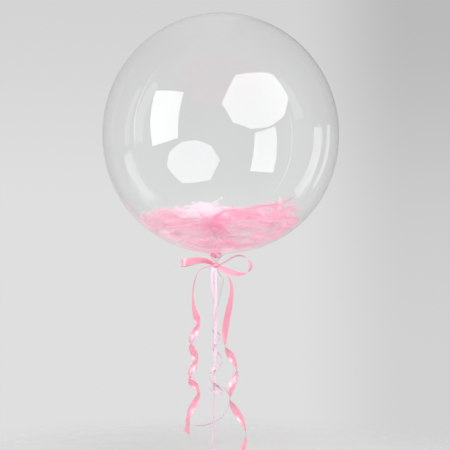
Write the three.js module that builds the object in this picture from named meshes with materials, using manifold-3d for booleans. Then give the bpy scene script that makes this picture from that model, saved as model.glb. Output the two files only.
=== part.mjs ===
import * as THREE from "three";
import { mergeVertices } from "three/addons/utils/BufferGeometryUtils.js";
import Module from "manifold-3d";

// A clear bubble balloon on its ribbons. Millimetres, +Z up, the broad view faces -Y, and the origin is
// the bottom of the tie-down loop, where the tether is made fast and the balloon floats above it.
//
// The bubble is one sealed film: a ball, a pleated neck drawn in to a pinch, and the loose end of the
// film below it. A satin bow is knotted round the pinch. Its two tails hang free, and a narrower
// curling ribbon runs from the knot down to the tie-down loop, its spare end left in curls.

const wasm = await Module();
wasm.setup();

// ---- Driving dimensions ----

const BUBBLE_WIDTH = 500; // a 20 inch bubble, filled
const WIDEST_Z = 719; // height of the bubble's widest level
const CROWN = 256; // from the widest level up to the crown
const BELLY = 252; // from the widest level down to where the belly would close
const BELLY_FULLNESS = 2.06; // 2 is an ellipse, more is fuller towards the bottom
const BUBBLE_X = 18.5; // the ball stands a little to the right of its neck
const BUBBLE_RINGS = 15; // rings of facets on each of the crown and the belly
const BUBBLE_SIDES = 56;

const NECK_X = 8.5;
const PINCH_RADIUS = 2.2;
const PLEATS = 14;
const FILM_TAIL_END_Z = 356;

const KNOT_Z = 443;
const KNOT_RADII = new THREE.Vector3(6, 6.5, 5.5);
const CLEARANCE = 0.4; // between the knot and the film that runs through it

const SATIN_WIDTH = 15;
const SATIN_THICKNESS = 0.7;
const CURLING_WIDTH = 5.7;
const CURLING_THICKNESS = 0.5;

const LOOP_WIDTH = 23; // the tie-down loop, outside
const LOOP_HEIGHT = 31;
const LOOP_KNOT_Z = 33.5;
const LOOP_KNOT_RADII = new THREE.Vector3(4.6, 4.2, 5.4);

// ---- Ribbon routes ----
// Each point is x, y, z, then the way the ribbon's width points: its turn round the vertical, in
// degrees from +X, and its tip above the level, 0 where none is given. Turn 0 shows the broad side to
// the front and turn 90 shows the edge.

const LEFT_LOOP = [
  [8, -1, 443.5, -90, 60],
  [0, -3, 447.5, -90, 40],
  [-9, -5.5, 451.2, -90, 36],
  [-20, -7.5, 453.4, -90, 42],
  [-33, -8.5, 453.2, -90, 62],
  [-46, -8.5, 451.4, -90, 82],
  [-57, -7, 449.6, -90, 90],
  [-63.6, -3, 449, -90, 90],
  [-64.4, 3, 447.8, -90, 92],
  [-58, 8, 447.2, -90, 98],
  [-44, 9, 449.6, -90, 112],
  [-28, 7.5, 452.4, -90, 128],
  [-12, 5, 451.6, -90, 132],
  [0, 3, 447.4, -90, 124],
  [8, 1, 443.5, -90, 112],
];

const RIGHT_LOOP = [
  [9, 0, 443.5, 90, 0],
  [16, 0, 444.6, 90, -6],
  [24, 0, 447.6, 90, -10],
  [32, 0, 451.8, 90, -13],
  [40.5, 0, 457.6, 90, -13],
  [49, 0, 461.8, 90, -13],
  [58, 0, 463.4, 90, -13],
  [67, 0, 461.2, 86, -12],
  [75.5, 0, 455.6, 76, -8],
  [81, 0, 448.2, 66, 0],
  [82.4, 0, 440, 62, 0],
  [77.6, 0, 430.4, 72, 2],
  [68.5, 0, 425.4, 84, 12],
  [55, 0, 424.9, 90, 34],
  [40.5, 0, 428.8, 90, 46],
  [27.5, 0, 434.4, 90, 48],
  [17, 0, 439.4, 90, 46],
  [9, 0, 443, 90, 44],
];

const LEFT_TAIL = [
  [1.6, -2, 441.6, 90],
  [-6, -3, 441, 90],
  [-14, -4, 439, 90],
  [-22.5, -4, 435, 90],
  [-29.5, -4, 428.4, 88],
  [-34, -4, 418.5, 84],
  [-37.6, -3, 408, 80],
  [-40, -2, 394.5, 80],
  [-41, -2, 378.5, 80],
  [-40.4, -2, 365.5, 70],
  [-38.6, -2, 354, 58],
  [-35.2, -1, 340.5, 38],
  [-31.8, 1, 328.5, 30],
  [-29.4, 2, 317.5, 58],
  [-32.2, 1, 307.5, 34],
  [-37.2, -2, 297, 0],
  [-41.6, -4, 288.5, -26],
  [-44.6, -5, 281, -62],
  [-44.4, -4, 273, -122],
  [-41.6, -1, 265, -152],
  [-37.6, 2, 254.5, -180],
  [-33.6, 4, 241.5, -124],
  [-36.2, 2, 232, -142],
  [-41.2, -2, 223, -180],
  [-45.8, -4, 215.5, -222],
  [-48.4, -5, 209, -264],
  [-45.4, -4, 200.8, -318],
  [-40.2, 0, 192, -360],
  [-33.2, 3, 183, -318],
  [-29, 4, 174.2, -292],
  [-29.4, 3, 166.2, -300],
  [-33, 1, 157.8, -322],
  [-37.8, -1, 147.4, -346],
  [-43, -2, 138.2, -374],
  [-47.2, -3, 127.8, -398],
  [-50.4, -3, 117.4, -415],
  [-50.8, -2, 105.6, -416],
  [-52.2, -1, 95.4, -404],
  [-53.4, 0, 87.6, -398],
];

const RIGHT_TAIL = [
  [12, -7.5, 438.2, 90],
  [18, -9, 433, 90],
  [24.4, -9.5, 427.6, 88],
  [31, -9.5, 422.4, 82],
  [36.4, -9, 415, 74],
  [39.8, -8, 405.4, 66],
  [41.4, -7, 393.2, 60],
  [41, -6, 380.6, 54],
  [39.4, -5, 369.2, 47],
  [37, -4, 357.2, 36],
  [34, -3, 342.4, 31],
  [31, -2, 327.6, 27],
  [28.6, -2, 312.8, 27],
  [27, -2, 300, 34],
  [26.4, -3, 289.4, 48],
  [27.2, -4, 279, 68],
  [28.8, -4, 269.2, 102],
  [34.2, -2, 259.4, 152],
  [40, 1, 250, 180],
  [46, 3, 241, 220],
  [50.6, 5, 231, 246],
  [52.8, 5, 220.8, 268],
  [51.8, 3, 210.8, 306],
  [47.8, 1, 200.8, 332],
  [43.6, -1, 190.8, 356],
  [40.4, -3, 181, 396],
  [38.4, -3, 170.6, 420],
  [38, -3, 161, 447],
  [41, -1, 150.4, 490],
  [47.4, 2, 138.2, 530],
  [54, 4, 127.8, 545],
  [60.8, 5, 117.4, 570],
  [66.8, 5, 107, 596],
  [70.6, 4, 96.2, 614],
  [72, 2, 84.8, 628],
  [71.8, 0, 75, 645],
  [69.2, -2, 65.8, 662],
  [66.4, -3, 55.2, 674],
  [64.4, -3, 45.6, 684],
  [63.4, -2, 36, 690],
];

const TETHER = [
  [3.2, -5, 438, 0],
  [1.2, -7, 431.4, 8],
  [0.2, -8, 419.8, 8],
  [0.2, -8.5, 405, 4],
  [2.1, -8.5, 390, 0],
  [4.2, -8.5, 377.4, 0],
  [6.4, -8, 362.6, 0],
  [7.4, -7, 345.6, 0],
  [7.8, -6, 324.4, 0],
  [7.6, -5.5, 301, 0],
  [7.2, -5, 275.6, 0],
  [6.6, -4.5, 250.2, 0],
  [6, -4, 224.8, -5],
  [5.4, -3.5, 199.2, -12],
  [4.8, -3, 176, -32],
  [4, -2.5, 156.8, -42],
  [3.2, -2, 137.8, -46],
  [2.6, -2, 118.8, -46],
  [1.8, -1.5, 97.6, -46],
  [1, -1, 72, -44],
  [0.4, -0.5, 51, -40],
  [0, 0, 39.4, -30],
];

const TETHER_CURL = [
  [9.4, -5, 437.2, 180],
  [8.5, -8, 425, 180],
  [8.1, -9.5, 411.2, 180],
  [8.4, -10.5, 396.4, 180],
  [8.4, -11.5, 381.6, 180],
  [7.8, -12, 366.8, 180],
  [6.6, -11.5, 353, 165],
  [4, -9.5, 339.2, 135],
  [1.3, -6.5, 326.4, 105, 8],
  [-0.2, -4, 314.8, 90, 16],
  [0.9, -1.5, 305.2, 90, 36],
  [5.5, 0.5, 300.6, 90, 78],
  [12.3, 0, 299, 90, 102],
  [17.4, -4, 294.4, 90, 142],
  [16.1, -8.5, 287, 90, 132],
  [9.8, -11, 282, 90, 96],
  [3.8, -9.5, 277.4, 90, 66],
  [1.1, -5, 270, 90, 36],
  [3.4, 0, 263.4, 90, 60],
  [10.6, 2, 258.2, 90, 90],
  [18.2, 0, 251, 90, 110],
  [22.7, -4, 242, 90, 140],
  [19.1, -9, 233.4, 90, 124],
  [10.6, -11, 228, 90, 96],
  [1.3, -9.5, 222.6, 90, 70],
  [-4.5, -6, 213.2, 90, 42],
  [-5.1, -3, 203.6, 90, 32],
  [-0.4, 0.5, 195.4, 90, 60],
  [7.2, 2, 189.6, 90, 86],
  [16.1, 0.5, 183.2, 90, 102],
  [23.1, -3.5, 176.8, 90, 140],
  [19.1, -8, 172.6, 90, 118],
  [9.8, -10, 173.8, 90, 100],
  [0.2, -10, 178, 90, 112],
  [-5.9, -9, 184.8, 90, 152],
  [-4.2, -8.5, 191.6, 90, 180],
  [3, -8, 195, 90, 180],
  [11.9, -6.5, 193.2, 90, 180],
  [21.2, -1, 186.6, 90, 168],
  [31, 6, 176.4, 90, 150],
  [36.9, 11, 162.2, 90, 146],
  [36.7, 11, 147.4, 90, 144],
  [30.3, 7, 132.6, 90, 144],
  [19.1, 0, 119.8, 90, 144],
  [5.3, -8, 111.6, 90, 144],
  [-9.5, -9, 106.6, 90, 144],
  [-24.4, -9, 104.2, 90, 146],
  [-37.3, -8, 105.4, 90, 148],
];

// ---- Helpers ----

const radians = THREE.MathUtils.degToRad;
const lerp = THREE.MathUtils.lerp;
const smoothstep = THREE.MathUtils.smoothstep;

// A geometry as a manifold solid, and back.
function solid(geometry) {
  const bare = geometry.clone();
  bare.deleteAttribute("normal");
  bare.deleteAttribute("uv");
  const merged = mergeVertices(bare, 1e-3);
  const vertProperties = merged.attributes.position.array;
  const triVerts = new Uint32Array(merged.index.array);
  return new wasm.Manifold(new wasm.Mesh({ numProp: 3, vertProperties, triVerts }));
}

function geometryOf(manifold) {
  const { vertProperties, triVerts } = manifold.getMesh();
  const geometry = new THREE.BufferGeometry();
  geometry.setAttribute("position", new THREE.BufferAttribute(vertProperties, 3));
  geometry.setIndex(new THREE.BufferAttribute(triVerts, 1));
  const faceted = geometry.toNonIndexed();
  faceted.computeVertexNormals();
  return faceted;
}

function named(name, geometry, material) {
  const mesh = new THREE.Mesh(geometry, material);
  mesh.name = name;
  return mesh;
}

// Moves every vertex of a geometry by a function that changes it in place.
function reshape(geometry, move) {
  const { position } = geometry.attributes;
  const vertex = new THREE.Vector3();
  for (let i = 0; i < position.count; i += 1) {
    vertex.fromBufferAttribute(position, i);
    move(vertex);
    position.setXYZ(i, vertex.x, vertex.y, vertex.z);
  }
  geometry.computeVertexNormals();
  return geometry;
}

// A long thin box for a ribbon. The facets of its two broad faces are split along the same diagonals,
// so that the ribbon keeps its thickness where it is twisted.
function straightRibbon(width, thickness, steps) {
  const box = new THREE.BoxGeometry(width, thickness, 1, 1, 1, steps);
  const { start, count } = box.groups[3];
  for (let i = start; i < start + count; i += 6) {
    const [a, b, d, , c] = box.index.array.slice(i, i + 6);
    box.index.array.set([a, b, c, a, c, d], i);
  }
  return box;
}

// A flat ribbon bent and twisted along a route. gather narrows its ends, as a knot does, and slant
// cuts its last end across at an angle.
function ribbon(route, { width, thickness, steps, gather = [1, 1], slant = 0 }) {
  const centre = new THREE.CatmullRomCurve3(route.map(([x, y, z]) => new THREE.Vector3(x, y, z)));
  centre.curveType = "catmullrom";
  const turns = new THREE.SplineCurve(route.map((row, i) => new THREE.Vector2(i, row[3])));
  const tips = new THREE.SplineCurve(route.map((row, i) => new THREE.Vector2(i, row[4] ?? 0)));
  const along = new THREE.Vector3();
  const across = new THREE.Vector3();
  const face = new THREE.Vector3();
  return reshape(straightRibbon(width, thickness, steps), (vertex) => {
    const share = THREE.MathUtils.clamp(vertex.z + 0.5, 0, 1);
    const t = centre.getUtoTmapping(share);
    const turn = radians(turns.getPoint(t).y);
    const tip = radians(tips.getPoint(t).y);
    centre.getTangent(t, along);
    across.set(Math.cos(turn) * Math.cos(tip), Math.sin(turn) * Math.cos(tip), Math.sin(tip));
    across.addScaledVector(along, -across.dot(along)).normalize();
    face.crossVectors(along, across);
    const start = lerp(gather[0], 1, smoothstep(share, 0, 0.16));
    const end = lerp(gather[1], 1, smoothstep(1 - share, 0, 0.16));
    const side = vertex.x * start * end;
    const lift = vertex.y;
    const cut = share === 1 ? vertex.x * slant : 0;
    centre.getPoint(t, vertex);
    vertex.addScaledVector(across, side).addScaledVector(face, lift).addScaledVector(along, cut);
  });
}

// A round lump with the given radii.
function lump(radii, x, z, sides) {
  const ball = new THREE.SphereGeometry(1, sides, sides / 2);
  return ball.rotateX(Math.PI / 2).scale(radii.x, radii.y, radii.z).translate(x, 0, z);
}

// ---- The bubble ----

// The neck and the loose film below it, from the belly down: height, half width, and how round each
// level is, from 1, a circle, to nearly flat.
const NECK = [
  [467.6, 22, 1],
  [465.4, 13.4, 1],
  [461, 10.6, 1],
  [456.6, 8.4, 1],
  [453.2, 5, 1],
  [450.5, PINCH_RADIUS, 1],
  [436.2, PINCH_RADIUS, 1],
];
const FILM_TAIL = [
  [431, 3.4, 0.9, 9.4],
  [423, 6.4, 0.6, 11.4],
  [412, 10.2, 0.4, 14],
  [404, 10.4, 0.38, 13.8],
  [390, 8.4, 0.42, 12.2],
  [372, 6.6, 0.46, 10.4],
  [FILM_TAIL_END_Z, 5, 0.5, 8.8],
];

// The outline as half width and height, from the crown down to the end of the film.
function bubbleProfile() {
  const half = BUBBLE_WIDTH / 2;
  const profile = [];
  for (let i = 0; i < BUBBLE_RINGS; i += 1) {
    const t = ((i / BUBBLE_RINGS) * Math.PI) / 2;
    profile.push([half * Math.sin(t), WIDEST_Z + CROWN * Math.cos(t)]);
  }
  for (let i = 0; i < BUBBLE_RINGS; i += 1) {
    const t = ((i / BUBBLE_RINGS) * Math.PI) / 2;
    const radius = half * Math.cos(t) ** (2 / BELLY_FULLNESS);
    profile.push([radius, WIDEST_Z - BELLY * Math.sin(t) ** (2 / BELLY_FULLNESS)]);
  }
  NECK.forEach(([z, radius]) => profile.push([radius, z]));
  FILM_TAIL.forEach(([z, halfWidth]) => profile.push([halfWidth, z]));
  profile.push([0, FILM_TAIL_END_Z]);
  return profile.map(([radius, z]) => new THREE.Vector2(radius, z)).reverse();
}

// Interpolates one column of a table that runs downwards in z.
function levelValue(table, z, column) {
  const below = table.findIndex((row) => row[0] <= z);
  if (below <= 0) return table[below < 0 ? table.length - 1 : 0][column];
  const [upper, lower] = [table[below - 1], table[below]];
  return lerp(lower[column], upper[column], (z - lower[0]) / (upper[0] - lower[0]));
}

// Where the middle of a level lies: under the ball, then drawn aside to the neck, then the film's own.
function middleX(z) {
  if (z > KNOT_Z) return lerp(NECK_X, BUBBLE_X, smoothstep(z, 456, 478));
  return levelValue([[KNOT_Z, 0, 0, NECK_X], ...FILM_TAIL], z, 3);
}

// The film is gathered at the neck: its pleats are deepest there and die out in the belly.
function pleatDepth(z, radius) {
  if (z < KNOT_Z) return 0.16;
  return z < WIDEST_Z ? 0.13 * (1 - smoothstep(radius, 12, 62)) : 0;
}

function makeBubble() {
  const lathe = new THREE.LatheGeometry(bubbleProfile(), BUBBLE_SIDES).rotateX(Math.PI / 2);
  return reshape(lathe, (vertex) => {
    const radius = Math.hypot(vertex.x, vertex.y);
    const angle = Math.atan2(vertex.y, vertex.x);
    const pleat = 1 + pleatDepth(vertex.z, radius) * Math.cos(PLEATS * angle);
    const flat = vertex.z < KNOT_Z ? levelValue([[KNOT_Z, 0, 1], ...FILM_TAIL], vertex.z, 2) : 1;
    vertex.x = vertex.x * pleat + middleX(vertex.z);
    vertex.y *= pleat * flat;
  });
}

// ---- The satin bow ----

// The room that the film takes where it runs through the knot.
function filmPassage() {
  const room = NECK.slice(1).map(([z, radius]) => [radius * 1.16 + CLEARANCE, z]);
  const bottom = KNOT_Z - 20;
  const outline = [[0, room[0][1]], ...room, [PINCH_RADIUS * 1.16 + CLEARANCE, bottom], [0, bottom]];
  const points = outline.map(([radius, z]) => new THREE.Vector2(radius, z)).reverse();
  return new THREE.LatheGeometry(points, 28).rotateX(Math.PI / 2).translate(NECK_X, 0, 0);
}

function makeBow() {
  const band = { width: SATIN_WIDTH, thickness: SATIN_THICKNESS, steps: 44, gather: [0.45, 0.45] };
  return geometryOf(
    solid(lump(KNOT_RADII, NECK_X, KNOT_Z, 20))
      .add(solid(ribbon(LEFT_LOOP, band)))
      .add(solid(ribbon(RIGHT_LOOP, band)))
      .subtract(solid(filmPassage())),
  );
}

// ---- The tie-down loop ----

function makeTieDownLoop() {
  const band = new THREE.Shape().absellipse(0, 0, LOOP_WIDTH / 2, LOOP_HEIGHT / 2, 0, Math.PI * 2);
  const eye = new THREE.Path();
  eye.absellipse(0, 0, LOOP_WIDTH / 2 - 1, LOOP_HEIGHT / 2 - 1, 0, Math.PI * 2);
  band.holes.push(eye);
  const extrusion = { depth: CURLING_WIDTH, bevelEnabled: false, curveSegments: 16 };
  const ring = new THREE.ExtrudeGeometry(band, extrusion);
  ring.rotateX(Math.PI / 2).translate(0, CURLING_WIDTH / 2, LOOP_HEIGHT / 2);
  return geometryOf(solid(ring).add(solid(lump(LOOP_KNOT_RADII, 0, LOOP_KNOT_Z, 16))));
}

// ---- The object ----

const clearFilm = new THREE.MeshStandardMaterial({
  color: 0xf2f5f7,
  roughness: 0.03,
  metalness: 0,
  transparent: true,
  opacity: 0.25,
});
const satin = new THREE.MeshStandardMaterial({ color: 0xff9fb8, roughness: 0.38, metalness: 0 });
const curlingRibbon = new THREE.MeshStandardMaterial({ color: 0xf8d9e8, roughness: 0.3, metalness: 0 });

const satinTail = {
  width: SATIN_WIDTH,
  thickness: SATIN_THICKNESS,
  steps: 78,
  gather: [0.45, 1],
  slant: 0.3,
};
const curling = { width: CURLING_WIDTH, thickness: CURLING_THICKNESS };

const balloon = new THREE.Group();
balloon.add(
  named("bubble", makeBubble(), clearFilm),
  named("ribbon_bow", makeBow(), satin),
  named("bow_tail_left", ribbon(LEFT_TAIL, satinTail), satin),
  named("bow_tail_right", ribbon(RIGHT_TAIL, satinTail), satin),
  named("tether_ribbon", ribbon(TETHER, { ...curling, steps: 60 }), curlingRibbon),
  named("tether_curl", ribbon(TETHER_CURL, { ...curling, steps: 80 }), curlingRibbon),
  named("tether_loop", makeTieDownLoop(), curlingRibbon),
);

export default balloon;
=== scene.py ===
"""A clear bubble balloon with down feathers inside, on its satin bow and curling-ribbon tether.

Metres, +Z up, the broad view faces -Y. The origin is the bottom of the tie-down loop, and the
balloon floats above it on its taut tether.
"""

import logging
import math
import random
from collections.abc import Sequence
from dataclasses import dataclass
from enum import Enum
from functools import cached_property
from typing import NamedTuple, TypeVar

import bmesh
import bpy
from mathutils import Matrix, Vector, noise


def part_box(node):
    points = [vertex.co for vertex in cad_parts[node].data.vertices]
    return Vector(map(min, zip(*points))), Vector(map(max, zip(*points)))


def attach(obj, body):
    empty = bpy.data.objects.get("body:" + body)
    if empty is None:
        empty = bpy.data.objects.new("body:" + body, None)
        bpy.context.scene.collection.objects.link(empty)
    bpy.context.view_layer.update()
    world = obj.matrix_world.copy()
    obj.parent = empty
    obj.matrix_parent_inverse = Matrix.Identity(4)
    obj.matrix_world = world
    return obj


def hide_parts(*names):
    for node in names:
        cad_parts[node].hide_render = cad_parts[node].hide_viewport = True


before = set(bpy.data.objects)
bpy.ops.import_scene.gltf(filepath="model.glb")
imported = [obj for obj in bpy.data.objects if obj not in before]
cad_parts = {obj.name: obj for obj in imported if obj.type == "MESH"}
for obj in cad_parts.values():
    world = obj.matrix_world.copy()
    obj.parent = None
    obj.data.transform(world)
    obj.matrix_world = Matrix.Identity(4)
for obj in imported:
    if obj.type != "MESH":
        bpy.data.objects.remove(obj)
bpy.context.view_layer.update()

BODY = "root"
CHART = "ribbon"
TONE = "tone"
FULL_TURN = 2 * math.pi
SPREAD_SEED = 41
SATIN_WIDTH = 0.015
SATIN_THICKNESS = 0.0005
CURLING_WIDTH = 0.0057
CURLING_THICKNESS = 0.0003
EYE_THICKNESS = 0.0005

log = logging.getLogger("balloon")

Colour = tuple[float, float, float]
Point = tuple[float, float, float]
Amount = bpy.types.NodeSocket | float
Shade = bpy.types.NodeSocket | tuple[float, ...]
Knot = TypeVar("Knot", float, Vector)


# ---- Named options ----


class Slot(Enum):
    """The record's material slots."""

    FILM = "clear_film"
    SATIN = "satin_ribbon"
    CURLING = "curling_ribbon"
    DOWN = "feather_down"


class Stiffness(Enum):
    """How readily a free ribbon bends."""

    LIMP = "limp"
    MEDIUM = "medium"


class Lay(Enum):
    """How a free ribbon lies."""

    HANGING = "hanging"
    TAUT = "taut"


class FarEnd(Enum):
    """What is on a free ribbon's far end."""

    BARE = "bare"
    KNOT = "knot"


class Effect(Enum):
    """The shared effects, by the names of their node groups."""

    THREADS_AND_PAINTED_SHEEN = "threads_and_painted_sheen"
    SELVEDGE = "selvedge"
    CLOUDS = "clouds"


# ---- Small maths ----


def lerp(start: float, end: float, share: float) -> float:
    """Mix two values by a share from 0 to 1."""
    return start + (end - start) * share


def smoothstep(value: float, low: float, high: float) -> float:
    """Rise smoothly from 0 at low to 1 at high."""
    share = min(max((value - low) / (high - low), 0.0), 1.0)
    return share * share * (3 - 2 * share)


def catmull_rom(before: Knot, start: Knot, end: Knot, after: Knot, share: float) -> Knot:
    """Follow a smooth curve from start to end, for numbers or vectors alike.

    Args:
        before: The knot before start.
        start: The knot where the stretch begins.
        end: The knot where the stretch ends.
        after: The knot after end.
        share: How far along the stretch to look, from 0 to 1.

    Returns:
        The value there, of the same kind as the knots.
    """
    slope_in = (end - before) * 0.5
    slope_out = (after - start) * 0.5
    cubic = (start - end) * 2 + slope_in + slope_out
    square = (end - start) * 3 - slope_in * 2 - slope_out
    return ((cubic * share + square) * share + slope_in) * share + start


# ---- Ribbon routes ----


class RibbonStation(NamedTuple):
    """One place along a ribbon and the ways that it faces there."""

    point: Vector
    along: Vector
    across: Vector
    face: Vector


@dataclass(frozen=True)
class RibbonRoute:
    """The line that a ribbon follows and the way its width points along it.

    Each row is x, y and z, the turn of the width round the vertical in degrees from +X, and its tip
    above the level in degrees.
    """

    rows: tuple[tuple[float, float, float, float, float], ...]

    TURN_COLUMN = 3
    TIP_COLUMN = 4
    DIVISIONS = 240
    STEP = 1e-4

    def _at(self, t: float) -> tuple[int, float]:
        """Find the stretch between two rows that holds t, and the share along it.

        Args:
            t: Place along the route, from 0 to 1 by its rows.

        Returns:
            The stretch's number and the share.
        """
        place = min(max(t, 0.0), 1.0) * (len(self.rows) - 1)
        stretch = min(int(place), len(self.rows) - 2)
        return stretch, place - stretch

    def point(self, t: float) -> Vector:
        """Give the centreline's point at t, from 0 to 1.

        Args:
            t: Place along the route, from 0 to 1 by its rows.

        Returns:
            The point.
        """
        stretch, share = self._at(t)
        start = Vector(self.rows[stretch][:3])
        end = Vector(self.rows[stretch + 1][:3])
        before = Vector(self.rows[stretch - 1][:3]) if stretch else start * 2 - end
        last = stretch + 2 >= len(self.rows)
        after = end * 2 - start if last else Vector(self.rows[stretch + 2][:3])
        return catmull_rom(before, start, end, after, share)

    def angle(self, t: float, column: int) -> float:
        """Read the column of turns or of tips at t, in radians.

        Args:
            t: Place along the route, from 0 to 1 by its rows.
            column: Which column of the rows to read.

        Returns:
            The angle.
        """
        stretch, share = self._at(t)
        top = len(self.rows) - 1
        knots = [self.rows[min(max(stretch + i, 0), top)][column] for i in (-1, 0, 1, 2)]
        return math.radians(catmull_rom(*knots, share))

    @cached_property
    def _lengths(self) -> list[float]:
        """Running length of the centreline at equal steps of t.

        Returns:
            The lengths, from 0 to the whole.
        """
        points = [self.point(i / self.DIVISIONS) for i in range(self.DIVISIONS + 1)]
        lengths = [0.0]
        for start, end in zip(points, points[1:]):
            lengths.append(lengths[-1] + (end - start).length)
        return lengths

    @property
    def length(self) -> float:
        """Length of the ribbon along its centreline."""
        return self._lengths[-1]

    def parameter(self, share: float) -> float:
        """Turn a share of the length into the curve's own parameter.

        Args:
            share: Share of the length, from 0 to 1.

        Returns:
            The place t, from 0 to 1 by the rows.
        """
        wanted = min(max(share, 0.0), 1.0) * self.length
        index = 0
        while index < self.DIVISIONS - 1 and self._lengths[index + 1] < wanted:
            index += 1
        start, end = self._lengths[index : index + 2]
        return (index + (wanted - start) / (end - start)) / self.DIVISIONS

    def station(self, share: float) -> RibbonStation:
        """Find the ribbon's place and facing at a share of its length.

        Args:
            share: Share of the length, from 0 to 1.

        Returns:
            The station.
        """
        t = self.parameter(share)
        along = (self.point(min(t + self.STEP, 1)) - self.point(max(t - self.STEP, 0))).normalized()
        turn = self.angle(t, self.TURN_COLUMN)
        tip = self.angle(t, self.TIP_COLUMN)
        level = math.cos(tip)
        across = Vector((math.cos(turn) * level, math.sin(turn) * level, math.sin(tip)))
        across = (across - along * across.dot(along)).normalized()
        return RibbonStation(self.point(t), along, across, along.cross(across))

    def centreline(self, count: int) -> list[Vector]:
        """List evenly spaced points of the centreline from end to end."""
        return [self.point(self.parameter(i / (count - 1))) for i in range(count)]


LEFT_LOOP = RibbonRoute(
    (
        (0.008, -0.001, 0.4435, -90, 60),
        (0, -0.003, 0.4475, -90, 40),
        (-0.009, -0.0055, 0.4512, -90, 36),
        (-0.02, -0.0075, 0.4534, -90, 42),
        (-0.033, -0.0085, 0.4532, -90, 62),
        (-0.046, -0.0085, 0.4514, -90, 82),
        (-0.057, -0.007, 0.4496, -90, 90),
        (-0.0636, -0.003, 0.449, -90, 90),
        (-0.0644, 0.003, 0.4478, -90, 92),
        (-0.058, 0.008, 0.4472, -90, 98),
        (-0.044, 0.009, 0.4496, -90, 112),
        (-0.028, 0.0075, 0.4524, -90, 128),
        (-0.012, 0.005, 0.4516, -90, 132),
        (0, 0.003, 0.4474, -90, 124),
        (0.008, 0.001, 0.4435, -90, 112),
    )
)
RIGHT_LOOP = RibbonRoute(
    (
        (0.009, 0, 0.4435, 90, 0),
        (0.016, 0, 0.4446, 90, -6),
        (0.024, 0, 0.4476, 90, -10),
        (0.032, 0, 0.4518, 90, -13),
        (0.0405, 0, 0.4576, 90, -13),
        (0.049, 0, 0.4618, 90, -13),
        (0.058, 0, 0.4634, 90, -13),
        (0.067, 0, 0.4612, 86, -12),
        (0.0755, 0, 0.4556, 76, -8),
        (0.081, 0, 0.4482, 66, 0),
        (0.0824, 0, 0.44, 62, 0),
        (0.0776, 0, 0.4304, 72, 2),
        (0.0685, 0, 0.4254, 84, 12),
        (0.055, 0, 0.4249, 90, 34),
        (0.0405, 0, 0.4288, 90, 46),
        (0.0275, 0, 0.4344, 90, 48),
        (0.017, 0, 0.4394, 90, 46),
        (0.009, 0, 0.443, 90, 44),
    )
)
LEFT_TAIL = RibbonRoute(
    (
        (0.0016, -0.002, 0.4416, 90, 0),
        (-0.006, -0.003, 0.441, 90, 0),
        (-0.014, -0.004, 0.439, 90, 0),
        (-0.0225, -0.004, 0.435, 90, 0),
        (-0.0295, -0.004, 0.4284, 88, 0),
        (-0.034, -0.004, 0.4185, 84, 0),
        (-0.0376, -0.003, 0.408, 80, 0),
        (-0.04, -0.002, 0.3945, 80, 0),
        (-0.041, -0.002, 0.3785, 80, 0),
        (-0.0404, -0.002, 0.3655, 70, 0),
        (-0.0386, -0.002, 0.354, 58, 0),
        (-0.0352, -0.001, 0.3405, 38, 0),
        (-0.0318, 0.001, 0.3285, 30, 0),
        (-0.0294, 0.002, 0.3175, 58, 0),
        (-0.0322, 0.001, 0.3075, 34, 0),
        (-0.0372, -0.002, 0.297, 0, 0),
        (-0.0416, -0.004, 0.2885, -26, 0),
        (-0.0446, -0.005, 0.281, -62, 0),
        (-0.0444, -0.004, 0.273, -122, 0),
        (-0.0416, -0.001, 0.265, -152, 0),
        (-0.0376, 0.002, 0.2545, -180, 0),
        (-0.0336, 0.004, 0.2415, -124, 0),
        (-0.0362, 0.002, 0.232, -142, 0),
        (-0.0412, -0.002, 0.223, -180, 0),
        (-0.0458, -0.004, 0.2155, -222, 0),
        (-0.0484, -0.005, 0.209, -264, 0),
        (-0.0454, -0.004, 0.2008, -318, 0),
        (-0.0402, 0, 0.192, -360, 0),
        (-0.0332, 0.003, 0.183, -318, 0),
        (-0.029, 0.004, 0.1742, -292, 0),
        (-0.0294, 0.003, 0.1662, -300, 0),
        (-0.033, 0.001, 0.1578, -322, 0),
        (-0.0378, -0.001, 0.1474, -346, 0),
        (-0.043, -0.002, 0.1382, -374, 0),
        (-0.0472, -0.003, 0.1278, -398, 0),
        (-0.0504, -0.003, 0.1174, -415, 0),
        (-0.0508, -0.002, 0.1056, -416, 0),
        (-0.0522, -0.001, 0.0954, -404, 0),
        (-0.0534, 0, 0.0876, -398, 0),
    )
)
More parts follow.
